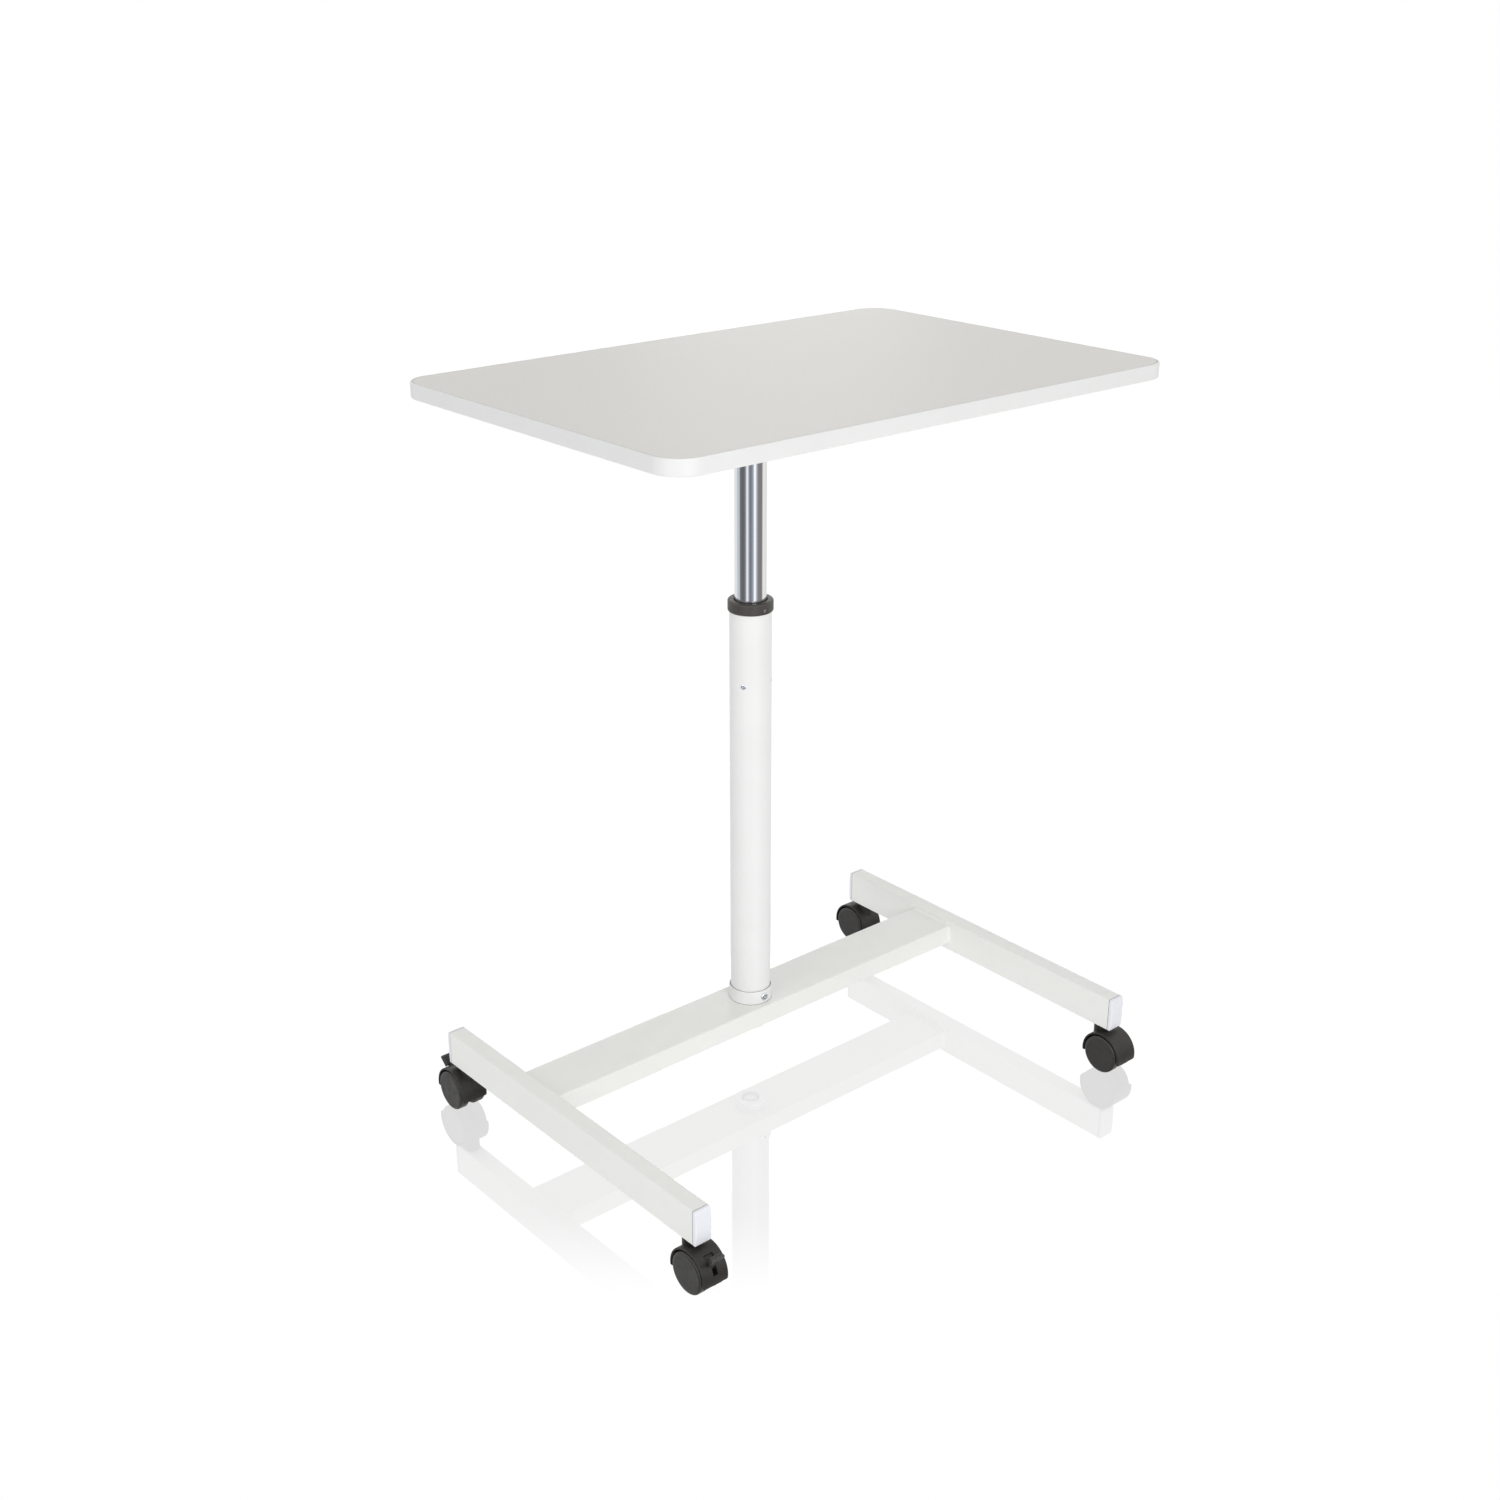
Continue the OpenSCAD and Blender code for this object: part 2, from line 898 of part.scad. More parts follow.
module hood(has_brake) {
    color(plastic_black)
        difference() {
            union() {
                on_axle()
                    hood_arch();
                on_axle()
                    intersection() {
                        cyl_x(2 * hood_in_r + 1, web_w);
                        above_skirt(web_w, skirt_corner);
                    }
                difference() {
                    translate([0, 0, stem_low_z])
                        cylinder(d = neck_d, h = neck_top_z - stem_low_z);
                    on_axle()
                        cyl_x(2 * hood_in_r, 2 * neck_d);
                }
            }
            on_axle()
                cyl_x(axle_d, hood_w);
            translate([0, 0, stem_low_z - 0.5])
                cylinder(d = stem_d + 2 * gap, h = castor_h);
            translate([0, 0, castor_h - flange_h - 0.2])
                cylinder(d = flange_d + 4 * gap, h = castor_h);
            if (has_brake) {
                on_axle()
                    brake_pocket();
                on_axle()
                    translate([0, -brake_pin_at[0], brake_pin_at[1]])
                        cyl_x(brake_pin_d, web_w + 1);
            }
        }
}

module axle() {
    color(zinc)
        on_axle()
            cyl_x(axle_d, axle_l);
}

// One wheel of a pair, on the side x > 0, with a closed outer face and ribs inside
module wheel_body() {
    rib_l = wheel_r - wheel_rim - wheel_hub_d / 2 + 1;
    rotate([0, 90, 0]) {
        rotate_extrude()
            difference() {
                union() {
                    square([wheel_r - wheel_edge, wheel_w]);
                    square([wheel_r, wheel_w - wheel_edge]);
                    translate([wheel_r - wheel_edge, wheel_w - wheel_edge])
                        circle(wheel_edge);
                }
                translate([wheel_hub_d / 2, -1])
                    square([wheel_r - wheel_rim - wheel_hub_d / 2, wheel_w - wheel_face + 1]);
                translate([-1, -1])
                    square([axle_d / 2 + gap + 1, wheel_w - wheel_face + 1.5]);
            }
        for (turn = [0 : wheel_ribs - 1])
            rotate([0, 0, 360 * turn / wheel_ribs])
                translate([wheel_hub_d / 2 - 0.5, -wheel_rib_t / 2, rib_set_back])
                    cube([rib_l, wheel_rib_t, wheel_w - rib_set_back - wheel_face / 2]);
    }
}

module wheel(side) {
    color(wheel_black)
        on_axle()
            mirror([side < 0 ? 1 : 0, 0, 0])
                translate([wheel_in, 0, 0])
                    wheel_body();
}

// Side view of the brake lever: [distance behind the axle, height above the axle]
function brake_outline() = [
    [14.8, 10.5], [17.5, 8.2], [21.5, 8.2], [25.2, 12.2], [28.6, 19.5], [38, 33.4],
    [36.2, 35.2], [31.2, 36], [24.8, 26], [19.5, 19], [15.2, 15.5]
];

// Pressed with a foot; drawn in its free position, standing up
module brake_lever() {
    color(plastic_black)
        on_axle()
            difference() {
                union() {
                    behind_axle(brake_w)
                        polygon(brake_outline());
                    intersection() {
                        behind_axle(tab_tip_w)
                            difference() {
                                polygon(brake_outline());
                                circle(hood_r + tab_rise);
                            }
                        linear_extrude(height = 2 * hood_r)
                            polygon([
                                [-tab_root_w / 2, -tab_root], [tab_root_w / 2, -tab_root],
                                [tab_tip_w / 2, -tab_flare], [tab_tip_w / 2, -tab_end],
                                [-tab_tip_w / 2, -tab_end], [-tab_tip_w / 2, -tab_flare]
                            ]);
                    }
                }
                translate([0, -brake_pin_at[0], brake_pin_at[1]])
                    cyl_x(brake_pin_d + 2 * gap, brake_w + 2);
            }
}

module brake_pin() {
    color(zinc)
        on_axle()
            translate([0, -brake_pin_at[0], brake_pin_at[1]])
                cyl_x(brake_pin_d, web_w);
}

module hood_front_left() {
    at_castor(FRONT_LEFT) hood(true);
}

module axle_front_left() {
    at_castor(FRONT_LEFT) axle();
}

module wheel_front_left_out() {
    at_castor(FRONT_LEFT) wheel(-1);
}

module wheel_front_left_in() {
    at_castor(FRONT_LEFT) wheel(1);
}

module brake_front_left() {
    at_castor(FRONT_LEFT) brake_lever();
}

module brake_pin_front_left() {
    at_castor(FRONT_LEFT) brake_pin();
}

module hood_front_right() {
    at_castor(FRONT_RIGHT) hood(false);
}

module axle_front_right() {
    at_castor(FRONT_RIGHT) axle();
}

module wheel_front_right_in() {
    at_castor(FRONT_RIGHT) wheel(-1);
}

module wheel_front_right_out() {
    at_castor(FRONT_RIGHT) wheel(1);
}

module hood_rear_left() {
    at_castor(REAR_LEFT) hood(true);
}

module axle_rear_left() {
    at_castor(REAR_LEFT) axle();
}

module wheel_rear_left_in() {
    at_castor(REAR_LEFT) wheel(-1);
}

module wheel_rear_left_out() {
    at_castor(REAR_LEFT) wheel(1);
}

module brake_rear_left() {
    at_castor(REAR_LEFT) brake_lever();
}

module brake_pin_rear_left() {
    at_castor(REAR_LEFT) brake_pin();
}

module hood_rear_right() {
    at_castor(REAR_RIGHT) hood(false);
}

module axle_rear_right() {
    at_castor(REAR_RIGHT) axle();
}

module wheel_rear_right_out() {
    at_castor(REAR_RIGHT) wheel(-1);
}

module wheel_rear_right_in() {
    at_castor(REAR_RIGHT) wheel(1);
}

// ---------- assembly ----------

cross_rail();
foot_rail_left();
foot_rail_right();
foot_caps();
weld_beads();
column_socket();
socket_screw();
outer_tube();
tube_collar();
collar_screw();
guide_sleeve();
guide_screws();
spring_rod();
rod_fixings();
castor_inserts();
castor_stems();
top_board();
top_laminate();
under_laminate();
edge_band();
mounting_plate();
plate_screws();
head_socket();
inner_tube();
tube_plug();
slide_ring();
gas_cylinder();
lever_bracket();
lever_pin();
release_lever();
lever_grip();
release_pin();
hood_front_left();
axle_front_left();
wheel_front_left_out();
wheel_front_left_in();
brake_front_left();
brake_pin_front_left();
hood_front_right();
axle_front_right();
wheel_front_right_in();
wheel_front_right_out();
hood_rear_left();
axle_rear_left();
wheel_rear_left_in();
wheel_rear_left_out();
brake_rear_left();
brake_pin_rear_left();
hood_rear_right();
axle_rear_right();
wheel_rear_right_out();
wheel_rear_right_in();
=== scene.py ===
"""Overbed table: the visual model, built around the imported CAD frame.

Units are metres, in the CAD's own frame: origin on the floor, +Z up, front of the table at -Y.
"""

import json
import math

import bmesh
import bpy
from mathutils import Matrix, Vector


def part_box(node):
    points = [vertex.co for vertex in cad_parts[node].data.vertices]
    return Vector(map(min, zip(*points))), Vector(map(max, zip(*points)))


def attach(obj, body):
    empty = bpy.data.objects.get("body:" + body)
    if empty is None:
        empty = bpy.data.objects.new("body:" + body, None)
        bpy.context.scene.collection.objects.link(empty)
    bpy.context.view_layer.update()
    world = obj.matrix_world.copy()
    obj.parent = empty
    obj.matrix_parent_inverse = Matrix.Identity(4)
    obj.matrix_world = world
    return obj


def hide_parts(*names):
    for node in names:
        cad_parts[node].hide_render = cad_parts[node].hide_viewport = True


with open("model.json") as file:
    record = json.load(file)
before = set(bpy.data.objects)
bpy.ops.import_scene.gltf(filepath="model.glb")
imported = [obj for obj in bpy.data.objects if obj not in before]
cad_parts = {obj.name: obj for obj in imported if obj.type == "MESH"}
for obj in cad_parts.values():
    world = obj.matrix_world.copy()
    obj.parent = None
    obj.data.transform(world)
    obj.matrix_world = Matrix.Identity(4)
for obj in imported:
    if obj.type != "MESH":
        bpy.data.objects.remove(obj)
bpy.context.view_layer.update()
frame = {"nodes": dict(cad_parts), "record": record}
NODES = frame["nodes"]
SLOTS = {part["node"]: part["material_slot"] for part in frame["record"]["subparts"]}

MM = 0.001
CASTORS = ("front_left", "front_right", "rear_left", "rear_right")
# Castors with a brake
BRAKED = ("front_left", "rear_left")
# Azimuth of the front, in degrees
FRONT = -90
# Sides of the column's turned pieces, of the wheels, of the grip and of the screw heads
ROUND = 128
WHEEL_SIDES = 96
GRIP_SIDES = 64
SCREW_SIDES = 48
# Angle between faces, in degrees, above which an edge stays sharp
SHARP = 35
# Room left between neighbouring faces so that none lie on each other
HAIR = 0.03 * MM

# Corner radius of the rails' sections
RAIL_CORNER = 2.5 * MM
# Height of the socket screw's head
SOCKET_HEAD = 2.4 * MM
# Seam between a foot rail and its end cap
CAP_SEAM = 0.8 * MM
CAP_SEAM_DEPTH = 1.9 * MM
# Gap under the socket's foot, and how far it reaches inwards
FOOT_GAP = 0.5 * MM
FOOT_GAP_DEPTH = 1.2 * MM

# Camera: in front of the table, to its left and above its top
CAMERA_AT = (-1.5648, -1.7445, 1.4982)
CAMERA_TILT = math.radians(67.34)
CAMERA_TURN = math.radians(-40.47)
CAMERA_LENS = 45.77
CAMERA_SENSOR = 36
# Direction on the floor from the table to the camera
TO_CAMERA = (math.sin(CAMERA_TURN), -math.cos(CAMERA_TURN))

# Softboxes: name, place, side length, power. All point at the middle of the table
LIGHT_TARGET = (0, 0, 0.5)
LIGHTS = (
    ("key", (-0.9, -2.9, 1.5), 1.2, 34.5),
    ("left", (-2.9, -0.7, 1.3), 1.0, 12.0),
    ("sheen", (1.7, 1.95, 1.62), 0.7, 1.4),
)
# Light of the world on matt surfaces: from everywhere, and extra from above
AMBIENT = 0.428
AMBIENT_ABOVE = 0.26

# What mirrored rays meet: panels round the studio, and a white sky above them. Here are the
# sky's brightness and the upward parts of a ray between which the panels give way to it
SKY = 1.65
PANEL_TOP = (0.005, 0.065)
# The panels' colours by the degrees round from the camera's side
PANELS = (
    (-180, (0.95, 0.95, 0.90)), (-115, (0.92, 0.93, 0.90)), (-101, (0.62, 0.66, 0.72)),
    (-88, (0.70, 0.74, 0.82)), (-77, (0.20, 0.21, 0.23)), (-56, (0.15, 0.15, 0.155)),
    (-42, (0.20, 0.20, 0.21)), (-35, (0.34, 0.34, 0.36)), (-27, (0.98, 0.99, 1.03)),
    (-20, (1.0, 1.03, 1.08)), (-12, (0.42, 0.45, 0.51)), (-5, (0.21, 0.22, 0.25)),
    (2, (0.22, 0.22, 0.25)), (12, (0.34, 0.35, 0.39)), (20, (0.46, 0.48, 0.50)),
    (27, (1.22, 1.25, 1.29)), (35, (1.08, 1.12, 1.18)), (45, (0.46, 0.50, 0.55)),
    (56, (0.26, 0.25, 0.26)), (85, (0.25, 0.225, 0.21)), (95, (0.82, 0.80, 0.76)),
    (104, (1.0, 1.0, 0.97)), (130, (0.84, 0.85, 0.80)), (180, (0.95, 0.95, 0.90)),
)

# Floor: half its side, its brightness by the table, the strength and roughness of its mirror
# image, and the distances towards the camera between which the image fades out
FLOOR_REACH = 5.0
FLOOR_GLOW = 0.71
FLOOR_MIRROR = 0.19
FLOOR_ROUGHNESS = 0.03
FLOOR_FADE = (0.28, 0.48)

# ---------------------------------------------------------------- nodes


def connect(tree, value, socket):
    """Links a node's output to an input, or gives the input a fixed number or colour."""
    if isinstance(value, bpy.types.NodeSocket):
        tree.links.new(value, socket)
    elif isinstance(value, tuple):
        socket.default_value = (*value, 1.0)
    else:
        socket.default_value = value


def add_node(tree, kind, **settings):
    """A new node of the given kind."""
    made = tree.nodes.new(kind)
    for key, value in settings.items():
        setattr(made, key, value)
    return made


def add_maths(tree, operation, a, b):
    """Result of a maths operation on two numbers or outputs."""
    made = add_node(tree, "ShaderNodeMath", operation=operation)
    connect(tree, a, made.inputs[0])
    connect(tree, b, made.inputs[1])
    return made.outputs[0]


def add_mix(tree, amount, first, second):
    """Colour between first and second."""
    made = add_node(tree, "ShaderNodeMix", data_type="RGBA")
    connect(tree, amount, made.inputs[0])
    connect(tree, first, made.inputs[6])
    connect(tree, second, made.inputs[7])
    return made.outputs[2]


def add_range(tree, value, before, after, **settings):
    """Stretches a value from one (low, high) range to another."""
    made = add_node(tree, "ShaderNodeMapRange", **settings)
    connect(tree, value, made.inputs["Value"])
    for name, number in zip(("From Min", "From Max", "To Min", "To Max"), (*before, *after)):
        made.inputs[name].default_value = number
    return made.outputs["Result"]


def studio_panels(tree, x, y):
    """Colour of the panels in a direction (x, y) on the floor."""
    across_x = add_maths(tree, "MULTIPLY", x, -TO_CAMERA[1])
    across = add_maths(tree, "ADD", across_x, add_maths(tree, "MULTIPLY", y, TO_CAMERA[0]))
    along_x = add_maths(tree, "MULTIPLY", x, TO_CAMERA[0])
    along = add_maths(tree, "ADD", along_x, add_maths(tree, "MULTIPLY", y, TO_CAMERA[1]))
    turn = add_maths(tree, "DIVIDE", add_maths(tree, "ARCTAN2", across, along), 2 * math.pi)
    panels = add_node(tree, "ShaderNodeValToRGB")
    ramp = panels.color_ramp
    ramp.interpolation = "EASE"
    while len(ramp.elements) < len(PANELS):
        ramp.elements.new(0.5)
    for element, (angle, colour) in zip(ramp.elements, PANELS):
        element.position = angle / 360 + 0.5
        element.color = (*colour, 1.0)
    tree.links.new(add_maths(tree, "ADD", turn, 0.5), panels.inputs[0])
    return panels.outputs["Color"]


def studio_mirrored(tree, x, y, z):
    """What mirrored rays see in a direction: the panels alone, and with the sky above them."""
    panels = studio_panels(tree, x, y)
    height = add_range(tree, z, PANEL_TOP, (0.0, 1.0), interpolation_type="SMOOTHSTEP")
    return panels, add_mix(tree, height, panels, (SKY, SKY, SKY))


# ---------------------------------------------------------------- materials


class Finish:
    """A procedural material: helpers that add texture nodes and wire them to its shader."""

    def __init__(self, name, metallic=0.0, specular=0.5):
        self.material = bpy.data.materials.new(name)
        self.material.use_nodes = True
        self.tree = self.material.node_tree
        self.shader = self.tree.nodes["Principled BSDF"]
        self.set("Metallic", metallic)
        self.set("Specular IOR Level", specular)
        self.coordinates = self.node("ShaderNodeTexCoord")
        self.place = self.coordinates.outputs["Object"]

    def node(self, kind, **settings):
        """A new node of the given kind."""
        return add_node(self.tree, kind, **settings)

    def set(self, socket, value):
        """Gives a shader input a fixed value, or links a node's output to it."""
        connect(self.tree, value, self.shader.inputs[socket])

    def stretched(self, scale):
        """Object coordinates scaled by a different factor on each axis."""
        mapping = self.node("ShaderNodeMapping")
        mapping.inputs["Scale"].default_value = scale
        self.tree.links.new(self.place, mapping.inputs["Vector"])
        return mapping.outputs["Vector"]

    def noise(self, size, detail=2.0, stretch=None):
        """Noise with features of about the given size in metres."""
        made = self.node("ShaderNodeTexNoise")
        made.inputs["Scale"].default_value = 1.0 / size
        made.inputs["Detail"].default_value = detail
        place = self.stretched(stretch) if stretch else self.place
        self.tree.links.new(place, made.inputs["Vector"])
        return made.outputs["Fac"]

    def cells(self, size, stretch=None):
        """Distance to the nearest of many random points, for grains and pits."""
        made = self.node("ShaderNodeTexVoronoi")
        made.inputs["Scale"].default_value = 1.0 / size
        place = self.stretched(stretch) if stretch else self.place
        self.tree.links.new(place, made.inputs["Vector"])
        return made.outputs["Distance"]

    def spread(self, value, low, high, from_low=0.3, from_high=0.7):
        """Stretches a noise value from its usual range to low..high."""
        return add_range(self.tree, value, (from_low, from_high), (low, high))

    def maths(self, operation, a, b):
        """Result of a maths operation on two numbers or outputs."""
        return add_maths(self.tree, operation, a, b)

    def painted_panel_reflection(self, colour):
        """Colour with a painted reflection: darkened where mirrored rays would meet the sky, as the
        panels below it would show.
        """
        split = self.node("ShaderNodeSeparateXYZ")
        self.tree.links.new(self.coordinates.outputs["Reflection"], split.inputs[0])
        x, y, z = split.outputs
        panels, mirrored = studio_mirrored(self.tree, x, y, z)
        reflection_dimming = self.node("ShaderNodeVectorMath", operation="DIVIDE")
        self.tree.links.new(panels, reflection_dimming.inputs[0])
        self.tree.links.new(mirrored, reflection_dimming.inputs[1])
        reflection_painted_colour = self.node("ShaderNodeVectorMath", operation="MULTIPLY")
        self.tree.links.new(colour, reflection_painted_colour.inputs[0])
        self.tree.links.new(reflection_dimming.outputs[0], reflection_painted_colour.inputs[1])
        return reflection_painted_colour.outputs[0]

    def blend(self, amount, first, second):
        """Colour between first and second."""
        return add_mix(self.tree, amount, first, second)

    def bump(self, *layers):
        """Stacks bump layers, each (height value, depth in metres)."""
        normal = None
        for height, depth in layers:
            made = self.node("ShaderNodeBump")
            made.inputs["Distance"].default_value = depth
            self.tree.links.new(height, made.inputs["Height"])
            if normal is not None:
                self.tree.links.new(normal, made.inputs["Normal"])
            normal = made.outputs["Normal"]
        self.set("Normal", normal)


def shade(colour, factor):
    """Colour made brighter or darker by a factor."""
    return tuple(min(1.0, c * factor) for c in colour)


def powder_coat(name, colour, roughness=0.42, peel=0.02 * MM):
    """Satin powder coat with orange peel and faint unevenness of tone."""
    f = Finish(name, specular=0.45)
    tone = f.spread(f.noise(60 * MM, 3), 0, 1)
    specks = f.spread(f.cells(6 * MM), 0.25, 0, 0.02, 0.05)
    even = f.blend(tone, shade(colour, 0.985), shade(colour, 1.01))
    f.set("Base Color", f.blend(specks, even, shade(colour, 0.8)))
    f.set("Roughness", f.spread(f.noise(20 * MM, 3), roughness - 0.05, roughness + 0.06))
    f.bump((f.noise(1.6 * MM, 2), peel), (f.noise(0.4 * MM, 1), peel * 0.3))
    return f.material


def laminate(name, colour):
    """Melamine skin with a fine two-tone speckle and a pearl texture."""
    f = Finish(name, specular=0.4)
    fine = f.spread(f.noise(0.7 * MM, 2), 0, 0.65, 0.35, 0.65)
    coarse = f.spread(f.noise(2.6 * MM, 3), 0, 0.35)
    cloud = f.spread(f.noise(120 * MM, 2), -0.03, 0.03)
    mixed = f.maths("ADD", f.maths("ADD", fine, coarse), cloud)
    f.set("Base Color", f.blend(mixed, shade(colour, 0.955), shade(colour, 1.035)))
    f.set("Roughness", f.spread(f.noise(5 * MM, 3), 0.42, 0.46))
    f.bump((f.noise(0.9 * MM, 2), 0.008 * MM), (f.noise(4 * MM, 2), 0.004 * MM))
    return f.material


def moulded_white(name, colour):
    """White moulded plastic: even in tone, with a fine matt grain."""
    roughness = 0.38
    grain = 0.01 * MM
    f = Finish(name, specular=0.5)
    tone = f.spread(f.noise(40 * MM, 3), 0, 1)
    f.set("Base Color", f.blend(tone, shade(colour, 0.99), shade(colour, 1.01)))
    f.set("Roughness", f.spread(f.noise(9 * MM, 4), roughness - 0.05, roughness + 0.06))
    f.bump((f.cells(0.6 * MM), grain))
    return f.material


def moulded(name, colour, roughness=0.5, grain=0.03 * MM, sheen=0.4):
    """Injection-moulded plastic with a spark-eroded grain and rubbed patches."""
    f = Finish(name, specular=sheen)
    tone = f.spread(f.noise(15 * MM, 4), 0, 1)
    dust = f.spread(f.noise(3 * MM, 6), 0, 0.35, 0.55, 0.75)
    base = f.blend(tone, shade(colour, 0.86), shade(colour, 1.14))
    f.set("Base Color", f.blend(dust, base, shade(colour, 1.5)))
    f.set("Roughness", f.spread(f.noise(9 * MM, 4), roughness - 0.07, roughness + 0.08))
    f.bump((f.cells(0.45 * MM), grain), (f.noise(2.5 * MM, 3), grain * 0.6))
    return f.material


def brushed(name, colour, stretch, roughness=0.2, depth=0.004 * MM, panels=False):
    """Metal with fine lines; stretch is small along them. It may have the studio's panels painted
    into its colour as a painted reflection.
    """
    f = Finish(name, metallic=1.0)
    lines = f.noise(0.35 * MM, 3, stretch)
    tone = f.spread(f.noise(8 * MM, 4, stretch), 0, 1)
    base = f.blend(tone, shade(colour, 0.93), shade(colour, 1.04))
    # Painted reflection: the panels' dark bands are painted into the base colour
    f.set("Base Color", f.painted_panel_reflection(base) if panels else base)
    f.set("Roughness", f.spread(lines, roughness * 0.6, roughness * 1.5))
    f.bump((lines, depth))
    return f.material


def plated(name, colour, roughness=0.3):
    """Zinc plating: small crystals, mottled in tone and in gloss."""
    f = Finish(name, metallic=1.0)
    tone = f.spread(f.noise(2.2 * MM, 4), 0, 1)
    f.set("Base Color", f.blend(tone, shade(colour, 0.88), colour))
    f.set("Roughness", f.spread(f.cells(0.8 * MM), roughness - 0.06, roughness + 0.12, 0.1, 0.6))
    f.bump((f.noise(0.7 * MM, 3), 0.008 * MM))
    return f.material


def chipboard(name, colour):
    """Pressed chips of mixed tone."""
    f = Finish(name, specular=0.2)
    chips = f.cells(2.5 * MM, (1, 1, 2.5))
    mixed = f.spread(chips, 0, 1, 0.1, 0.6)
    f.set("Base Color", f.blend(mixed, shade(colour, 0.7), shade(colour, 1.15)))
    f.set("Roughness", f.spread(f.noise(5 * MM, 3), 0.75, 0.95))
    f.bump((chips, 0.15 * MM))
    return f.material


# Stretch of a texture whose lines run along Z
ALONG_Z = (1, 1, 0.01)

FINISHES = {
    "frame_paint": powder_coat("frame_paint", (0.85, 0.855, 0.825)),
    "tube_paint": powder_coat("tube_paint", (0.825, 0.828, 0.822), 0.36, 0.012 * MM),
    "cap_white": moulded_white("cap_white", (0.80, 0.81, 0.86)),
    "zinc": plated("zinc", (0.64, 0.67, 0.71)),
    "steel": brushed("steel", (0.74, 0.75, 0.77), ALONG_Z, 0.18),
    # Chrome carries the studio panels' reflection painted into its base colour
    "chrome": brushed("chrome", (0.80, 0.81, 0.83), ALONG_Z, 0.11, 0.001 * MM, True),
    "black_plastic": moulded("black_plastic", (0.050, 0.045, 0.042)),
    # Dark grey for the fillings of narrow joints: painted shade where the gaps fall dark
    "painted_seam_shade": moulded("painted_seam_shade", (0.13, 0.12, 0.105), 0.7, 0.01 * MM, 0.2),
    "screw_black": plated("screw_black", (0.34, 0.33, 0.33), 0.35),
    "hood_black": moulded("hood_black", (0.021, 0.019, 0.018), 0.46, 0.03 * MM, 0.27),
    "tab_black": moulded("tab_black", (0.036, 0.033, 0.031), 0.45),
    "wheel_black": moulded("wheel_black", (0.025, 0.022, 0.020), 0.46),
    "spring_black": powder_coat("spring_black", (0.02, 0.02, 0.022), 0.3, 0.01 * MM),
    "laminate": laminate("laminate", (0.672, 0.657, 0.618)),
    "edge_white": moulded_white("edge_white", (0.768, 0.771, 0.767)),
    "board": chipboard("board", (0.60, 0.47, 0.30)),
}


def dress(piece, finish):
    """Gives a piece one finish on every face."""
    piece.data.materials.clear()
    piece.data.materials.append(FINISHES[finish])


for node_name, node in NODES.items():
    dress(node, SLOTS[node_name])

# ---------------------------------------------------------------- mesh building


def rounded(corners, steps=6):
    """Closed outline through (x, y, radius) corners, each rounded by an arc."""
    points = []
    for index, (x, y, radius) in enumerate(corners):
        corner = Vector((x, y))
        before = (Vector(corners[index - 1][:2]) - corner).normalized()
        after = (Vector(corners[(index + 1) % len(corners)][:2]) - corner).normalized()
        if radius == 0:
            points.append((x, y))
            continue
        half = before.angle(after) / 2
        centre = corner + (before + after).normalized() * radius / math.sin(half)
        start = corner + before * radius / math.tan(half) - centre
        end = corner + after * radius / math.tan(half) - centre
        first = math.atan2(start.y, start.x)
        turn = (math.atan2(end.y, end.x) - first + math.pi) % (2 * math.pi) - math.pi
        for step in range(steps + 1):
            angle = first + turn * step / steps
            x = centre.x + radius * math.cos(angle)
            points.append((x, centre.y + radius * math.sin(angle)))
    return points


def skin(bm, rings, loop):
    """Quads between neighbouring closed rings of points.

    The last ring joins the first if loop, else both are capped."""
    made = [[bm.verts.new(point) for point in ring] for ring in rings]
    pairs = list(zip(made, made[1:]))
    if loop:
        pairs.append((made[-1], made[0]))
    for ring, following in pairs:
        for index in range(len(ring)):
            before = index - 1
            bm.faces.new((ring[before], ring[index], following[index], following[before]))
    if not loop:
        bm.faces.new(reversed(made[0]))
        bm.faces.new(made[-1])


def lathe(bm, profile, centre, along="Z", segments=ROUND):
    """Turns a closed (radius, height) profile about a line through centre, upright or along X."""
    rings = []
    for step in range(segments):
        angle = 2 * math.pi * step / segments
        across, up = math.cos(angle), math.sin(angle)
        if along == "Z":
            rings.append([(centre[0] + r * across, centre[1] + r * up, h) for r, h in profile])
        else:
            rings.append([(h, centre[1] + r * across, centre[2] + r * up) for r, h in profile])
    skin(bm, rings, loop=True)


def outline(width, depth, corner, steps, along=1):
    """Rounded rectangle about the origin: (corner centre x, y, outward x, y) at each point.

    The straight sides are cut into the given number of runs along the depth."""
    points = []
    for quarter in range(4):
        sx = 1 if quarter in (0, 3) else -1
        sy = 1 if quarter < 2 else -1
        cx = sx * (width / 2 - corner)
        cy = sy * (depth / 2 - corner)
        for step in range(steps + 1):
            angle = math.pi / 2 * (quarter + step / steps)
            points.append((cx, cy, math.cos(angle), math.sin(angle)))
        if quarter in (0, 2):
            continue
        facing = math.cos(math.pi / 2 * (quarter + 1))
        for run in range(1, along):
            points.append((cx, cy - 2 * cy * run / along, facing, 0.0))
    return points


def inset(width, depth, corner, amount, steps, along=1):
    """Places on a rounded rectangle that lies inside another by an amount."""
    radius = max(corner - amount, 0.0)
    path = outline(width - 2 * amount, depth - 2 * amount, radius, steps, along)
    return [(cx + dx * radius, cy + dy * radius) for cx, cy, dx, dy in path]


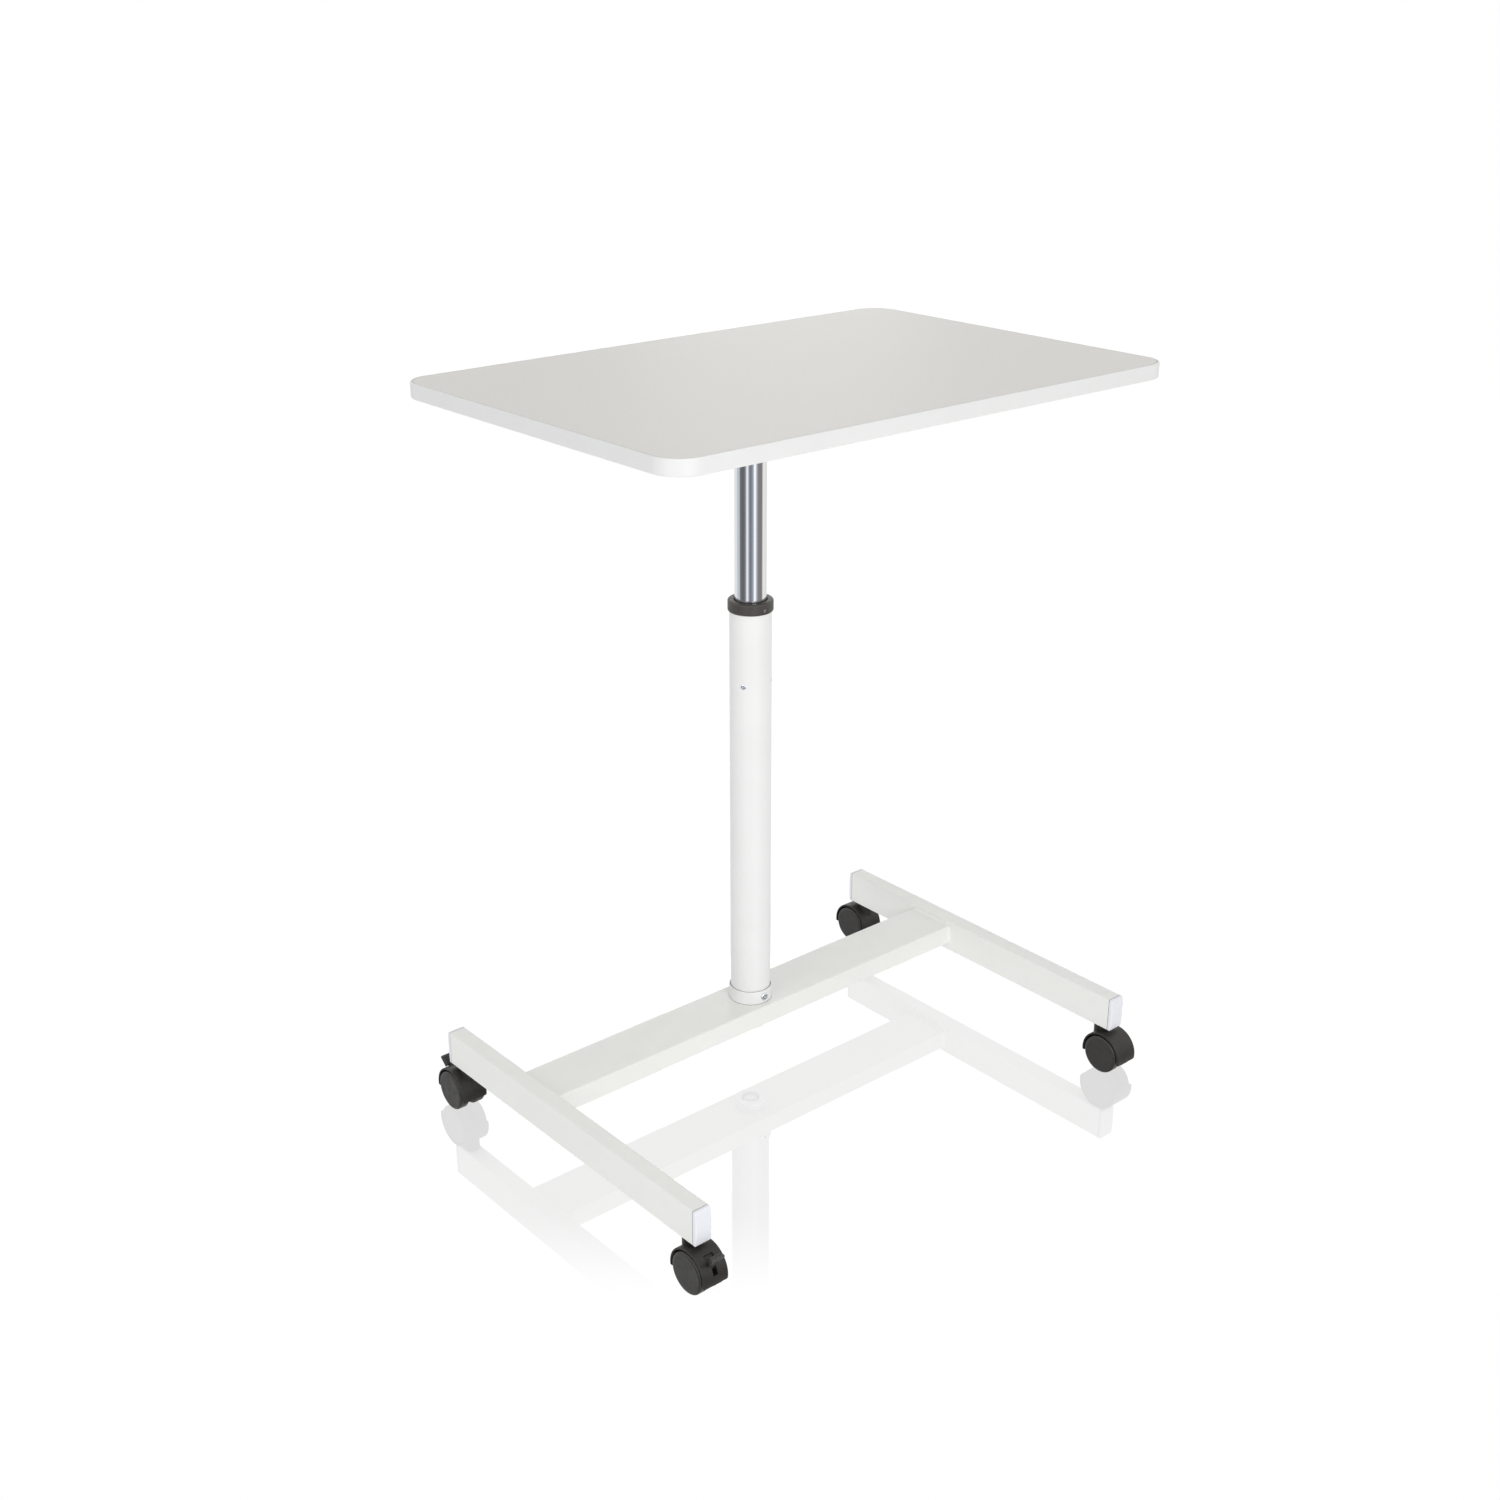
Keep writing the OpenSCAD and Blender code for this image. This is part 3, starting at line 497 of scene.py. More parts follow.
def finish_piece(name, bm, body, slot, *stands_for, sharp=SHARP, finish=None):
    """Turns the mesh into a piece that rides on a body in place of some CAD nodes.

    Its finish is the slot's own, unless another is given."""
    bmesh.ops.remove_doubles(bm, verts=bm.verts, dist=1e-7)
    bmesh.ops.recalc_face_normals(bm, faces=bm.faces)
    mesh = bpy.data.meshes.new(name)
    bm.to_mesh(mesh)
    bm.free()
    mesh.shade_smooth()
    mesh.set_sharp_from_angle(angle=math.radians(sharp))
    piece = bpy.data.objects.new(name, mesh)
    bpy.context.scene.collection.objects.link(piece)
    weighted = piece.modifiers.new("even shading", "WEIGHTED_NORMAL")
    weighted.keep_sharp = True
    dress(piece, finish or slot)
    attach(piece, body)
    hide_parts(*stands_for)
    return piece


def turned(name, body, slot, corners, centre, stands_for):
    """A lathe-turned upright piece from a profile with rounded corners."""
    bm = bmesh.new()
    lathe(bm, rounded(corners), centre)
    return finish_piece(name, bm, body, slot, stands_for)


def drill(piece, cutter):
    """Takes a hole out of a piece. The cutter is a closed mesh that is in its place."""
    bmesh.ops.recalc_face_normals(cutter, faces=cutter.faces)
    mesh = bpy.data.meshes.new("cutter")
    cutter.to_mesh(mesh)
    cutter.free()
    tool = bpy.data.objects.new("cutter", mesh)
    bpy.context.scene.collection.objects.link(tool)
    cut = piece.modifiers.new("hole", "BOOLEAN")
    cut.operation = "DIFFERENCE"
    cut.solver = "EXACT"
    cut.object = tool
    piece.modifiers.move(len(piece.modifiers) - 1, 0)
    weighted = piece.modifiers["even shading"]
    weighted.show_viewport = False
    bpy.context.view_layer.update()
    graph = bpy.context.evaluated_depsgraph_get()
    drilled = bpy.data.meshes.new_from_object(piece.evaluated_get(graph))
    piece.modifiers.remove(cut)
    weighted.show_viewport = True
    piece.data = drilled
    drilled.set_sharp_from_angle(angle=math.radians(SHARP))
    bpy.data.objects.remove(tool)


def drill_front(piece, axis, radius, depth_from, depth_to, z):
    """Drills a round hole into the front of the column, between two distances from its axis."""
    bm = bmesh.new()
    skin(bm, [around(radius, depth) for depth in (depth_from, depth_to)], loop=False)
    point_outwards(bm, (axis.x, axis.y, z), FRONT)
    drill(piece, bm)


def soften(node, width):
    """Rounds the sharp edges of a CAD piece, leaving its own mesh as it is."""
    piece = NODES[node]
    weld = piece.modifiers.new("weld", "WELD")
    weld.merge_threshold = 1e-6
    flat = piece.modifiers.new("flat", "DECIMATE")
    flat.decimate_type = "DISSOLVE"
    flat.angle_limit = math.radians(1.0)
    bevel = piece.modifiers.new("round", "BEVEL")
    bevel.width = width
    bevel.segments = 2
    bevel.limit_method = "ANGLE"
    bevel.angle_limit = math.radians(SHARP)
    bevel.harden_normals = False
    bevel.use_clamp_overlap = True
    weighted = piece.modifiers.new("even shading", "WEIGHTED_NORMAL")
    weighted.keep_sharp = True


# ---------------------------------------------------------------- column


def box_size(node):
    """Centre and half sizes of a CAD node."""
    low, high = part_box(node)
    return (low + high) / 2, (high - low) / 2


def tube_profile(outer, inner, low, high, lip):
    """Profile of a tube whose edges are rounded by the lip radius."""
    return [(inner, low, lip), (outer, low, lip), (outer, high, lip), (inner, high, lip)]


def build_column():
    """Both tubes, the socket on the cross rail and the collar, as finely turned pieces."""
    axis, inner = box_size("inner_tube")
    wall = 2 * MM
    turned(
        "column_inner_tube", "lift", "chrome",
        tube_profile(inner.x, inner.x - wall, axis.z - inner.z, axis.z + inner.z, 0.4 * MM),
        axis, "inner_tube",
    )
    centre, outer = box_size("outer_tube")
    # Slightly thinner than in the CAD, to stay clear of the slide ring
    wall = 2.4 * MM
    turned(
        "column_outer_tube", "base", "tube_paint",
        tube_profile(outer.x, outer.x - wall, centre.z - outer.z, centre.z + outer.z, 0.5 * MM),
        axis, "outer_tube",
    )
    build_socket(axis, outer.x)
    build_collar(axis, inner.x, outer.x)


def build_socket(axis, tube_r):
    """Socket with a narrow seam round the tube, and a boss that goes down through the rail."""
    low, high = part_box("column_socket")
    rail_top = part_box("cross_rail")[1].z
    radius = (high.x - low.x) / 2
    seam = 0.85 * MM
    seam_depth = 2.5 * MM
    floor = rail_top + 3 * MM
    boss = 22 * MM
    stud = 6 * MM
    pocket = 14 * MM
    pocket_top = low.z + 12 * MM
    corners = [
        (stud, floor, 0), (tube_r, floor, 0), (tube_r, high.z - seam_depth, 0),
        (tube_r + seam, high.z - seam_depth + seam, 0), (tube_r + seam, high.z, 0.4 * MM),
        (radius, high.z, 0.8 * MM), (radius, rail_top + FOOT_GAP, 0.3 * MM),
        (radius - FOOT_GAP_DEPTH, rail_top + FOOT_GAP, 0), (radius - FOOT_GAP_DEPTH, rail_top, 0),
        (boss, rail_top, 0), (boss, low.z, 0.8 * MM), (pocket, low.z, 0.5 * MM),
        (pocket, pocket_top, 0), (stud, pocket_top, 0),
    ]
    ring = turned("column_socket_ring", "base", "tube_paint", corners, axis, "column_socket")
    screw, head = box_size("socket_screw")
    clearance = 0.35 * MM
    spot_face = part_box("socket_screw")[0].y + SOCKET_HEAD
    past = radius + 5 * MM
    drill_front(ring, axis, head.x + clearance, axis.y - spot_face, past, screw.z)


def build_joint_lines():
    """Dark fillings of the narrow seams at the end caps and at both ends of the socket: painted
    shade for the shadow inside these gaps.
    """
    bm = bmesh.new()
    below_face = 0.25 * MM
    far = CAP_SEAM - HAIR
    section = ((CAP_SEAM_DEPTH, HAIR), (CAP_SEAM_DEPTH, far), (below_face, far), (below_face, HAIR))
    for side in ("left", "right"):
        middle, half = box_size("foot_rail_" + side)
        for end in (-1, 1):
            rings = []
            for amount, out in section:
                places = inset(2 * half.x, 2 * half.z, RAIL_CORNER, amount, CAP_CORNER_STEPS)
                at = end * (half.y + out)
                rings.append([(middle.x + x, at, middle.z + z) for x, z in places])
            skin(bm, rings, loop=True)
    axis, socket = box_size("column_socket")
    tube_r = box_size("outer_tube")[1].x
    top = axis.z + socket.z
    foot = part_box("cross_rail")[1].z
    foot_inner = socket.x - FOOT_GAP_DEPTH + HAIR
    foot_outer = socket.x - 0.2 * MM
    sunk = (
        (tube_r + HAIR, tube_r + 0.8 * MM, top - 1.6 * MM, top - 0.3 * MM),
        (foot_inner, foot_outer, foot + 0.02 * MM, foot + FOOT_GAP - HAIR),
    )
    for inner, outer, low, high in sunk:
        lathe(bm, [(inner, low), (outer, low), (outer, high), (inner, high)], axis)
    # Painted shade: the dark fillings stand in for the shadow in the seams
    finish_piece("joint_shade_fills", bm, "base", "black_plastic", finish="painted_seam_shade")


def build_collar(axis, inner_r, tube_r):
    """Moulded collar with soft edges and a dark gap round the sliding tube."""
    low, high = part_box("tube_collar")
    tube_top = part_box("outer_tube")[1].z
    radius = (high.x - low.x) / 2
    gap = 1.0 * MM
    play = 0.05 * MM
    corners = [
        (tube_r + play, low.z, 0.4 * MM), (radius, low.z, 2.2 * MM), (radius, high.z, 2.6 * MM),
        (inner_r + gap, high.z, 1.0 * MM), (inner_r + gap, tube_top + play, 0),
        (tube_r + play, tube_top + play, 0),
    ]
    ring = turned("column_collar", "base", "black_plastic", corners, axis, "tube_collar")
    screw, head = box_size("collar_screw")
    clearance = 0.6 * MM
    past = radius + 5 * MM
    drill_front(ring, axis, head.x + clearance, tube_r - 1 * MM, past, screw.z)


# ---------------------------------------------------------------- screws


def screw_head(bm, radius, height, recess_r, recess_depth, dome=0.55):
    """Button head with a hexagon recess, standing on z = 0 and pointing along +Z.

    The rounded edge takes up the dome's share of the height."""
    steps = 6
    rise = height * dome
    flat_r = recess_r * 1.25
    rings = [around(radius * 0.96, 0.0), around(radius, 0.15 * height)]
    for step in range(steps + 1):
        angle = math.pi / 2 * step / steps
        r = radius - (radius - flat_r) * (1 - math.cos(angle))
        rings.append(around(r, height - rise + rise * math.sin(angle)))
    narrower = recess_r * 0.96
    rings.append(hexagon(recess_r, height))
    rings.append(hexagon(narrower, height - 0.12 * recess_depth))
    rings.append(hexagon(narrower, height - recess_depth))
    skin(bm, rings, loop=False)


def screw_angles():
    """Directions of a screw head's points, in radians."""
    return [2 * math.pi * step / SCREW_SIDES for step in range(SCREW_SIDES)]


def around(r, z):
    """Circle about the Z axis."""
    return [(r * math.cos(angle), r * math.sin(angle), z) for angle in screw_angles()]


def hexagon(r, z):
    """Regular hexagon about the Z axis; r is the corner radius."""
    points = []
    for angle in screw_angles():
        sector = (angle + math.pi / 6) % (math.pi / 3) - math.pi / 6
        reach = r * math.cos(math.pi / 6) / math.cos(sector)
        points.append((reach * math.cos(angle), reach * math.sin(angle), z))
    return points


def point_outwards(bm, place, azimuth):
    """Turns a mesh that points along +Z so that it points outwards at an azimuth, at a place."""
    turn = Matrix.Rotation(math.radians(azimuth), 4, "Z") @ Matrix.Rotation(math.pi / 2, 4, "Y")
    bmesh.ops.transform(bm, matrix=Matrix.Translation(place) @ turn, verts=bm.verts)


# Screws in the column's front: piece, node, finish, the head's height, the recess's radius
# and depth, and the dome's share of the height
FRONT_SCREWS = (
    ("socket_screw_head", "socket_screw", "zinc", SOCKET_HEAD, 2.4 * MM, 1.6 * MM, 0.55),
    ("collar_set_screw", "collar_screw", "screw_black", 2.0 * MM, 1.5 * MM, 1.4 * MM, 0.2),
)
# Azimuths of the three guide screws, in degrees
GUIDE_SCREWS = (90, 210, 330)


def build_screws():
    """Heads of the screws in the column's front and of those round its guide."""
    axis = box_size("column_socket")[0]
    for name, node, finish, height, recess_r, recess_depth, dome in FRONT_SCREWS:
        place, head = box_size(node)
        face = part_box(node)[0].y
        bm = bmesh.new()
        screw_head(bm, head.x, height, recess_r, recess_depth, dome)
        point_outwards(bm, (axis.x, face + height, place.z), FRONT)
        finish_piece(name, bm, "base", "zinc", node, sharp=30, finish=finish)

    middle = Vector((axis.x, axis.y, box_size("guide_screws")[0].z))
    reach = box_size("outer_tube")[1].x - 0.1 * MM
    bm = bmesh.new()
    for azimuth in GUIDE_SCREWS:
        one = bmesh.new()
        screw_head(one, 3.5 * MM, 1.0 * MM, 1.6 * MM, 0.7 * MM, dome=0.7)
        angle = math.radians(azimuth)
        outwards = Vector((math.cos(angle), math.sin(angle), 0))
        point_outwards(one, middle + outwards * reach, azimuth)
        scrap = bpy.data.meshes.new("scrap")
        one.to_mesh(scrap)
        one.free()
        bm.from_mesh(scrap)
        bpy.data.meshes.remove(scrap)
    finish_piece("guide_screw_heads", bm, "base", "zinc", "guide_screws", sharp=30)


# ---------------------------------------------------------------- table top


def build_top():
    """Edge band, laminate and a dark filling in the narrow joint between them, as painted shade."""
    low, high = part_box("edge_band")
    centre = (low + high) / 2
    width, depth = high.x - low.x, high.y - low.y
    corner = 38 * MM
    corner_steps = 24
    band = 3 * MM
    joint = 0.5 * MM
    joint_floor = high.z - 0.35 * MM
    section = rounded([
        (band, low.z, 0.3 * MM), (band, joint_floor, 0), (band - joint, joint_floor, 0),
        (band - joint, high.z, 0.15 * MM), (0, high.z, 1.1 * MM), (0, low.z, 2.7 * MM),
    ])
    rings = []
    for cx, cy, dx, dy in outline(width, depth, corner, corner_steps):
        rings.append([
            (centre.x + cx + dx * (corner - across), centre.y + cy + dy * (corner - across), z)
            for across, z in section
        ])
    bm = bmesh.new()
    skin(bm, rings, loop=True)
    finish_piece("edge_trim", bm, "lift", "edge_white", "edge_band")

    def levels(section):
        """Rings that lie inside the top's outline by an amount, each at its height."""
        rings = []
        for amount, z in section:
            places = inset(width, depth, corner, amount, corner_steps)
            rings.append([(centre.x + x, centre.y + y, z) for x, y in places])
        return rings

    # Dark filling of the joint between band and laminate: painted shade for the narrow gap
    near, far = band - HAIR, band - joint + HAIR
    line_low, line_high = high.z - 0.33 * MM, high.z - 0.05 * MM
    bm = bmesh.new()
    section = ((near, line_low), (far, line_low), (far, line_high), (near, line_high))
    skin(bm, levels(section), loop=True)
    finish_piece("edge_joint_shade", bm, "lift", "edge_white", finish="painted_seam_shade")

    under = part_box("top_laminate")[0].z
    edge = 0.2 * MM
    facet = 0.06 * MM
    bm = bmesh.new()
    section = (
        (band, under), (band, high.z - edge), (band + facet, high.z - facet),
        (band + edge, high.z),
    )
    skin(bm, levels(section), loop=False)
    finish_piece("top_skin", bm, "lift", "laminate", "top_laminate")


# ---------------------------------------------------------------- base


def cap_height(x, z, half_w, half_h, depth):
    """How far the end cap's face stands out at a point of its section."""
    edge_round = 5 * MM
    crown_r = 133 * MM
    from_side = max(0.0, RAIL_CORNER - (half_w - abs(x)))
    from_edge = max(0.0, edge_round - (half_h - abs(z)))
    side_drop = RAIL_CORNER - math.sqrt(max(0.0, RAIL_CORNER**2 - from_side**2))
    edge_drop = edge_round - math.sqrt(max(0.0, edge_round**2 - from_edge**2))
    crown_drop = z * z / (2 * crown_r)
    face_drop = (edge_drop**4 + crown_drop**4) ** 0.25
    return depth - (side_drop**3 + face_drop**3) ** (1 / 3)


# Distances in mm of the end cap's rings of points from its edge, closest where it rounds over
CAP_RINGS = (0, 0.1, 0.3, 0.6, 1.0, 1.5, 2.0, 2.5, 3.4, 4.4, 5.6, 8, 11, 12.3)
# Points in each corner of those rings, and runs along their longer sides
CAP_CORNER_STEPS = 8
CAP_RUNS = 24


def build_caps():
    """End caps: crowned faces, a step at the joint with the rail and a seam inside it."""
    broken_edge = 0.12 * MM
    joint = (
        (CAP_SEAM_DEPTH, 0), (CAP_SEAM_DEPTH, CAP_SEAM), (broken_edge, CAP_SEAM),
        (0, CAP_SEAM + 0.1 * MM),
    )
    bm = bmesh.new()
    for side in ("left", "right"):
        middle, half = box_size("foot_rail_" + side)
        section = (2 * half.x, 2 * half.z, RAIL_CORNER)
        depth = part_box("foot_caps")[1].y - half.y
        for end in (-1, 1):
            rings = []
            for amount, out in joint:
                at = end * (half.y + out)
                places = inset(*section, amount, CAP_CORNER_STEPS, CAP_RUNS)
                rings.append([(middle.x + x, at, middle.z + z) for x, z in places])
            for amount in CAP_RINGS:
                ring = []
                for x, z in inset(*section, amount * MM, CAP_CORNER_STEPS, CAP_RUNS):
                    out = half.y + cap_height(x, z, half.x, half.z, depth)
                    ring.append((middle.x + x, end * out, middle.z + z))
                rings.append(ring)
            skin(bm, rings, loop=False)
    finish_piece("foot_end_caps", bm, "base", "cap_white", "foot_caps", sharp=40)


def weld_ring(place, back, out, size):
    """Section of a concave fillet in the corner between two faces, at one place along a weld."""
    steps = 8
    ring = [place]
    for step in range(steps + 1):
        angle = math.pi / 2 * step / steps
        away = out * size * (1 - math.cos(angle))
        ring.append(place + back * size * (1 - math.sin(angle)) + away)
    return ring


def build_welds():
    """Painted weld fillets round the cross rail's ends, slightly rippled by the torch."""
    rail, half = box_size("cross_rail")
    reach = 4.6 * MM
    ripple = 0.22 * MM
    pitch = 3.0 * MM
    ring_pitch = 0.6 * MM
    taper_run = 4 * MM
    bm = bmesh.new()
    for side in (-1, 1):
        joint = rail.x + side * half.x
        back = Vector((-side, 0, 0))
        bottom = rail.z - half.z + RAIL_CORNER
        front_end = rail.y - half.y + RAIL_CORNER
        upright = (Vector((0, 0, 1)), 2 * half.z - 2 * RAIL_CORNER)
        across = (Vector((0, 1, 0)), 2 * half.y - 2 * RAIL_CORNER)
        runs = (
            ((joint, front_end, rail.z + half.z), (0, 0, 1), across),
            ((joint, rail.y - half.y, bottom), (0, -1, 0), upright),
            ((joint, rail.y + half.y, bottom), (0, 1, 0), upright),
        )
        for start, out, (along, length) in runs:
            rings = []
            count = int(length / ring_pitch)
            for step in range(count + 1):
                run = length * step / count
                from_end = min(run, length - run)
                taper = math.sqrt(min(1.0, 0.1 + 0.9 * from_end / taper_run))
                wave = ripple * math.sin(2 * math.pi * run / pitch + side)
                size = reach * taper + wave
                rings.append(weld_ring(Vector(start) + along * run, back, Vector(out), size))
            skin(bm, rings, loop=False)
    finish_piece("weld_fillets", bm, "base", "frame_paint", "weld_beads", sharp=50)


# ---------------------------------------------------------------- castors


def build_wheel(node, castor):
    """Wheel with a dished disc, a rounded tread and ribs inside."""
    low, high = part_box(node)
    middle = (low + high) / 2
    hood = box_size("hood_" + castor)[0]
    out = 1 if middle.x > hood.x else -1
    start = low.x if out > 0 else high.x
    radius = (high.z - low.z) / 2
    width = high.x - low.x
    bore = 3.05 * MM
    hub = 8 * MM
    rim = radius - 3.5 * MM
    web = width - 2.6 * MM
    corners = [
        (bore, 0, 0.4 * MM), (hub, 0, 0.5 * MM), (hub, web, 1.2 * MM), (rim, web, 1.2 * MM),
        (rim, 0, 0.6 * MM), (radius, 0, 0.9 * MM), (radius, width - 1.3 * MM, 2.0 * MM),
        (rim, width, 2.5 * MM), (0, width - 0.2 * MM, 0), (0, web + 0.5 * MM, 0),
        (bore, web + 0.5 * MM, 0),
    ]
    profile = [(r, start + out * x) for r, x in rounded(corners)]
    bm = bmesh.new()
    lathe(bm, profile, middle, "X", WHEEL_SIDES)
    rib_from = start + out * 1.5 * MM
    rib_to = start + out * (web + 0.4 * MM)
    ribs = 6
    for rib in range(ribs):
        add_rib(bm, middle, rib_from, rib_to, hub, rim, 2 * math.pi * rib / ribs)
    finish_piece(node + "_tyre", bm, node, "wheel_black", node)


def add_rib(bm, middle, x_from, x_to, hub, rim, angle):
    """Straight rib between hub and rim, from its slightly rounded free edge to the disc."""
    along = Vector((0, math.cos(angle), math.sin(angle)))
    across = Vector((0, -math.sin(angle), math.cos(angle)))
    overlap = 0.4 * MM
    start, end = hub - overlap, rim + overlap
    shoulder = x_from + (x_to - x_from) * 0.06
    rings = []
    for x, half in ((x_from, 0.5 * MM), (shoulder, 0.8 * MM), (x_to, 1.0 * MM)):
        ring = []
        for reach, side in ((start, -1), (end, -1), (end, 1), (start, 1)):
            point = Vector((0, middle.y, middle.z)) + along * reach + across * side * half
            ring.append((x, point.y, point.z))
        rings.append(ring)
    skin(bm, rings, loop=False)


def build_castors():
    """All wheels, the hoods' finish, and the brakes on two of the castors."""
    for castor in CASTORS:
        dress(NODES["hood_" + castor], "hood_black")
        for side in ("out", "in"):
            build_wheel("wheel_" + castor + "_" + side, castor)
    for castor in BRAKED:
        soften("brake_" + castor, 0.35 * MM)
        dress(NODES["brake_" + castor], "tab_black")
        build_tab_ridges(castor)
        build_recess(castor)


# Sections of a grip ridge: place as a share of its half length, and share of its radius
RIDGE = ((-1, 0.3), (-0.94, 0.85), (-0.85, 1.0), (0.85, 1.0), (0.94, 0.85), (1, 0.3))
RIDGE_RADIUS = 0.62 * MM
RIDGE_PITCH = 2.0 * MM
RIDGE_SIDES = 12


def build_tab_ridges(castor):
    """Three grip ridges across the upper end of the brake lever's tab."""
    low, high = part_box("brake_" + castor)
    ahead = -1 if castor.startswith("front") else 1
    tip = low.y if ahead < 0 else high.y
    centre_x = (low.x + high.x) / 2
    half = (high.x - low.x) / 2 - 0.8 * MM
    slope = Vector((0, ahead * 5.0, -0.8)).normalized()
    first = Vector((centre_x, tip - ahead * 6.2 * MM, high.z - 0.15 * MM))
    bm = bmesh.new()
    for ridge in range(3):
        middle = first + slope * ridge * RIDGE_PITCH
        rings = []
        for share, size in RIDGE:
            ring = []
            for side in range(RIDGE_SIDES):
                angle = 2 * math.pi * side / RIDGE_SIDES
                y = middle.y + RIDGE_RADIUS * size * math.cos(angle)
                z = middle.z + RIDGE_RADIUS * size * math.sin(angle)
                ring.append((middle.x + share * half, y, z))
            rings.append(ring)
        skin(bm, rings, loop=False)
    name = "tab_ridges_" + castor
    finish_piece(name, bm, "brake_" + castor, "black_plastic", finish="tab_black")


# Recess above a brake lever, about the axle: inner and outer radius, then its lower and its
# upper part as half width and the degrees above level from which to which it reaches
RECESS_RADII = (29.6 * MM, 31.1 * MM)
RECESS_PARTS = ((3.8 * MM, 47.4, 51.0), (7.3 * MM, 50.2, 60.6))


def build_recess(castor):
    """Floor of the shallow recess above the brake lever, curved with the hood."""
    axle = box_size("axle_" + castor)[0]
    behind = -1 if castor.startswith("front") else 1
    inner, outer = RECESS_RADII
    steps = 8
    bm = bmesh.new()
    for half, low, high in RECESS_PARTS:
        rings = []
        for step in range(steps + 1):
            angle = math.radians(low + (high - low) * step / steps)
            ring = []
            for side, r in ((-1, inner), (1, inner), (1, outer), (-1, outer)):
                at = (axle.y + behind * r * math.cos(angle), axle.z + r * math.sin(angle))
                ring.append((axle.x + side * half, *at))
            rings.append(ring)
        skin(bm, rings, loop=False)
    name = "brake_recess_" + castor
    finish_piece(name, bm, "castor_" + castor, "black_plastic", finish="hood_black")


# ---------------------------------------------------------------- release lever


def build_grip():
    """Push-on grip: a domed end, finger rings and a flared mouth."""
    low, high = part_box("lever_grip")
    middle = (low + high) / 2
    radius = (high.z - low.z) / 2
    bore = 4 * MM
    blind_end = 10 * MM
    waist = radius - 0.9 * MM
    mouth, tip = low.x, high.x
    flare = 4 * MM
    soft = 0.8 * MM
    corners = [(bore, mouth, 0), (radius, mouth, soft), (radius, mouth + flare, soft)]
    rings = 6
    run = (tip - radius - mouth - 6 * MM) / rings
    for ring in range(rings):
        at = mouth + 5 * MM + run * ring
        corners.append((waist, at, soft))
        corners.append((waist, at + run * 0.35, soft))
        corners.append((radius, at + run * 0.55, soft))
        corners.append((radius, at + run * 0.92, soft))
    profile = rounded(corners, steps=4)
    dome_steps = 12
    for step in range(1, dome_steps + 1):
        angle = math.pi / 2 * step / dome_steps
        profile.append((radius * math.cos(angle), tip - radius + radius * math.sin(angle)))
    profile.append((0, tip - blind_end))
    profile.append((bore, tip - blind_end))
    bm = bmesh.new()
    lathe(bm, profile, middle, "X", GRIP_SIDES)
    finish_piece("hand_grip", bm, "release_lever", "black_plastic", "lever_grip")


# ---------------------------------------------------------------- the table

build_column()
build_screws()
build_top()
build_caps()
build_joint_lines()
build_welds()
build_castors()
build_grip()
# Pieces of sheet and round stock that keep their CAD shape
PLAIN = (
    "mounting_plate", "head_socket", "lever_bracket", "lever_pin", "plate_screws", "rod_fixings",
)
for plain in PLAIN:
    soften(plain, 0.4 * MM)

# ---------------------------------------------------------------- studio


def studio_world():
    """White to the camera, soft light to matt surfaces, and panels and sky to mirrored rays."""
    world = bpy.data.worlds.new("studio")
    bpy.context.scene.world = world
    world.use_nodes = True
    tree = world.node_tree
    tree.nodes.clear()
    split = add_node(tree, "ShaderNodeSeparateXYZ")
    direction = add_node(tree, "ShaderNodeTexCoord").outputs["Generated"]
    tree.links.new(direction, split.inputs[0])
    x, y, z = split.outputs
    mirrored = studio_mirrored(tree, x, y, z)[1]

    upwards = add_maths(tree, "MAXIMUM", z, 0.0)
    above = add_maths(tree, "MULTIPLY", upwards, AMBIENT_ABOVE)
    level = add_maths(tree, "ADD", above, AMBIENT)
    ambient = add_node(tree, "ShaderNodeCombineColor")
    for socket in ambient.inputs[:3]:
        tree.links.new(level, socket)

    path = add_node(tree, "ShaderNodeLightPath")
    seen = add_mix(tree, path.outputs["Is Glossy Ray"], ambient.outputs[0], mirrored)
    seen = add_mix(tree, path.outputs["Is Camera Ray"], seen, (1.0, 1.0, 1.0))
    background = add_node(tree, "ShaderNodeBackground")
    tree.links.new(seen, background.inputs["Color"])
    output = add_node(tree, "ShaderNodeOutputWorld")
    tree.links.new(background.outputs[0], output.inputs["Surface"])


def soft_light(name, at, size, power):
    """A square softbox."""
    data = bpy.data.lights.new(name, "AREA")
    data.shape = "SQUARE"
    data.size = size
    data.energy = power
    light = bpy.data.objects.new(name, data)
    bpy.context.scene.collection.objects.link(light)
    light.location = at
    light.rotation_mode = "QUATERNION"
    towards = Vector(LIGHT_TARGET) - Vector(at)
    light.rotation_quaternion = towards.to_track_quat("-Z", "Y")
    light.visible_camera = False


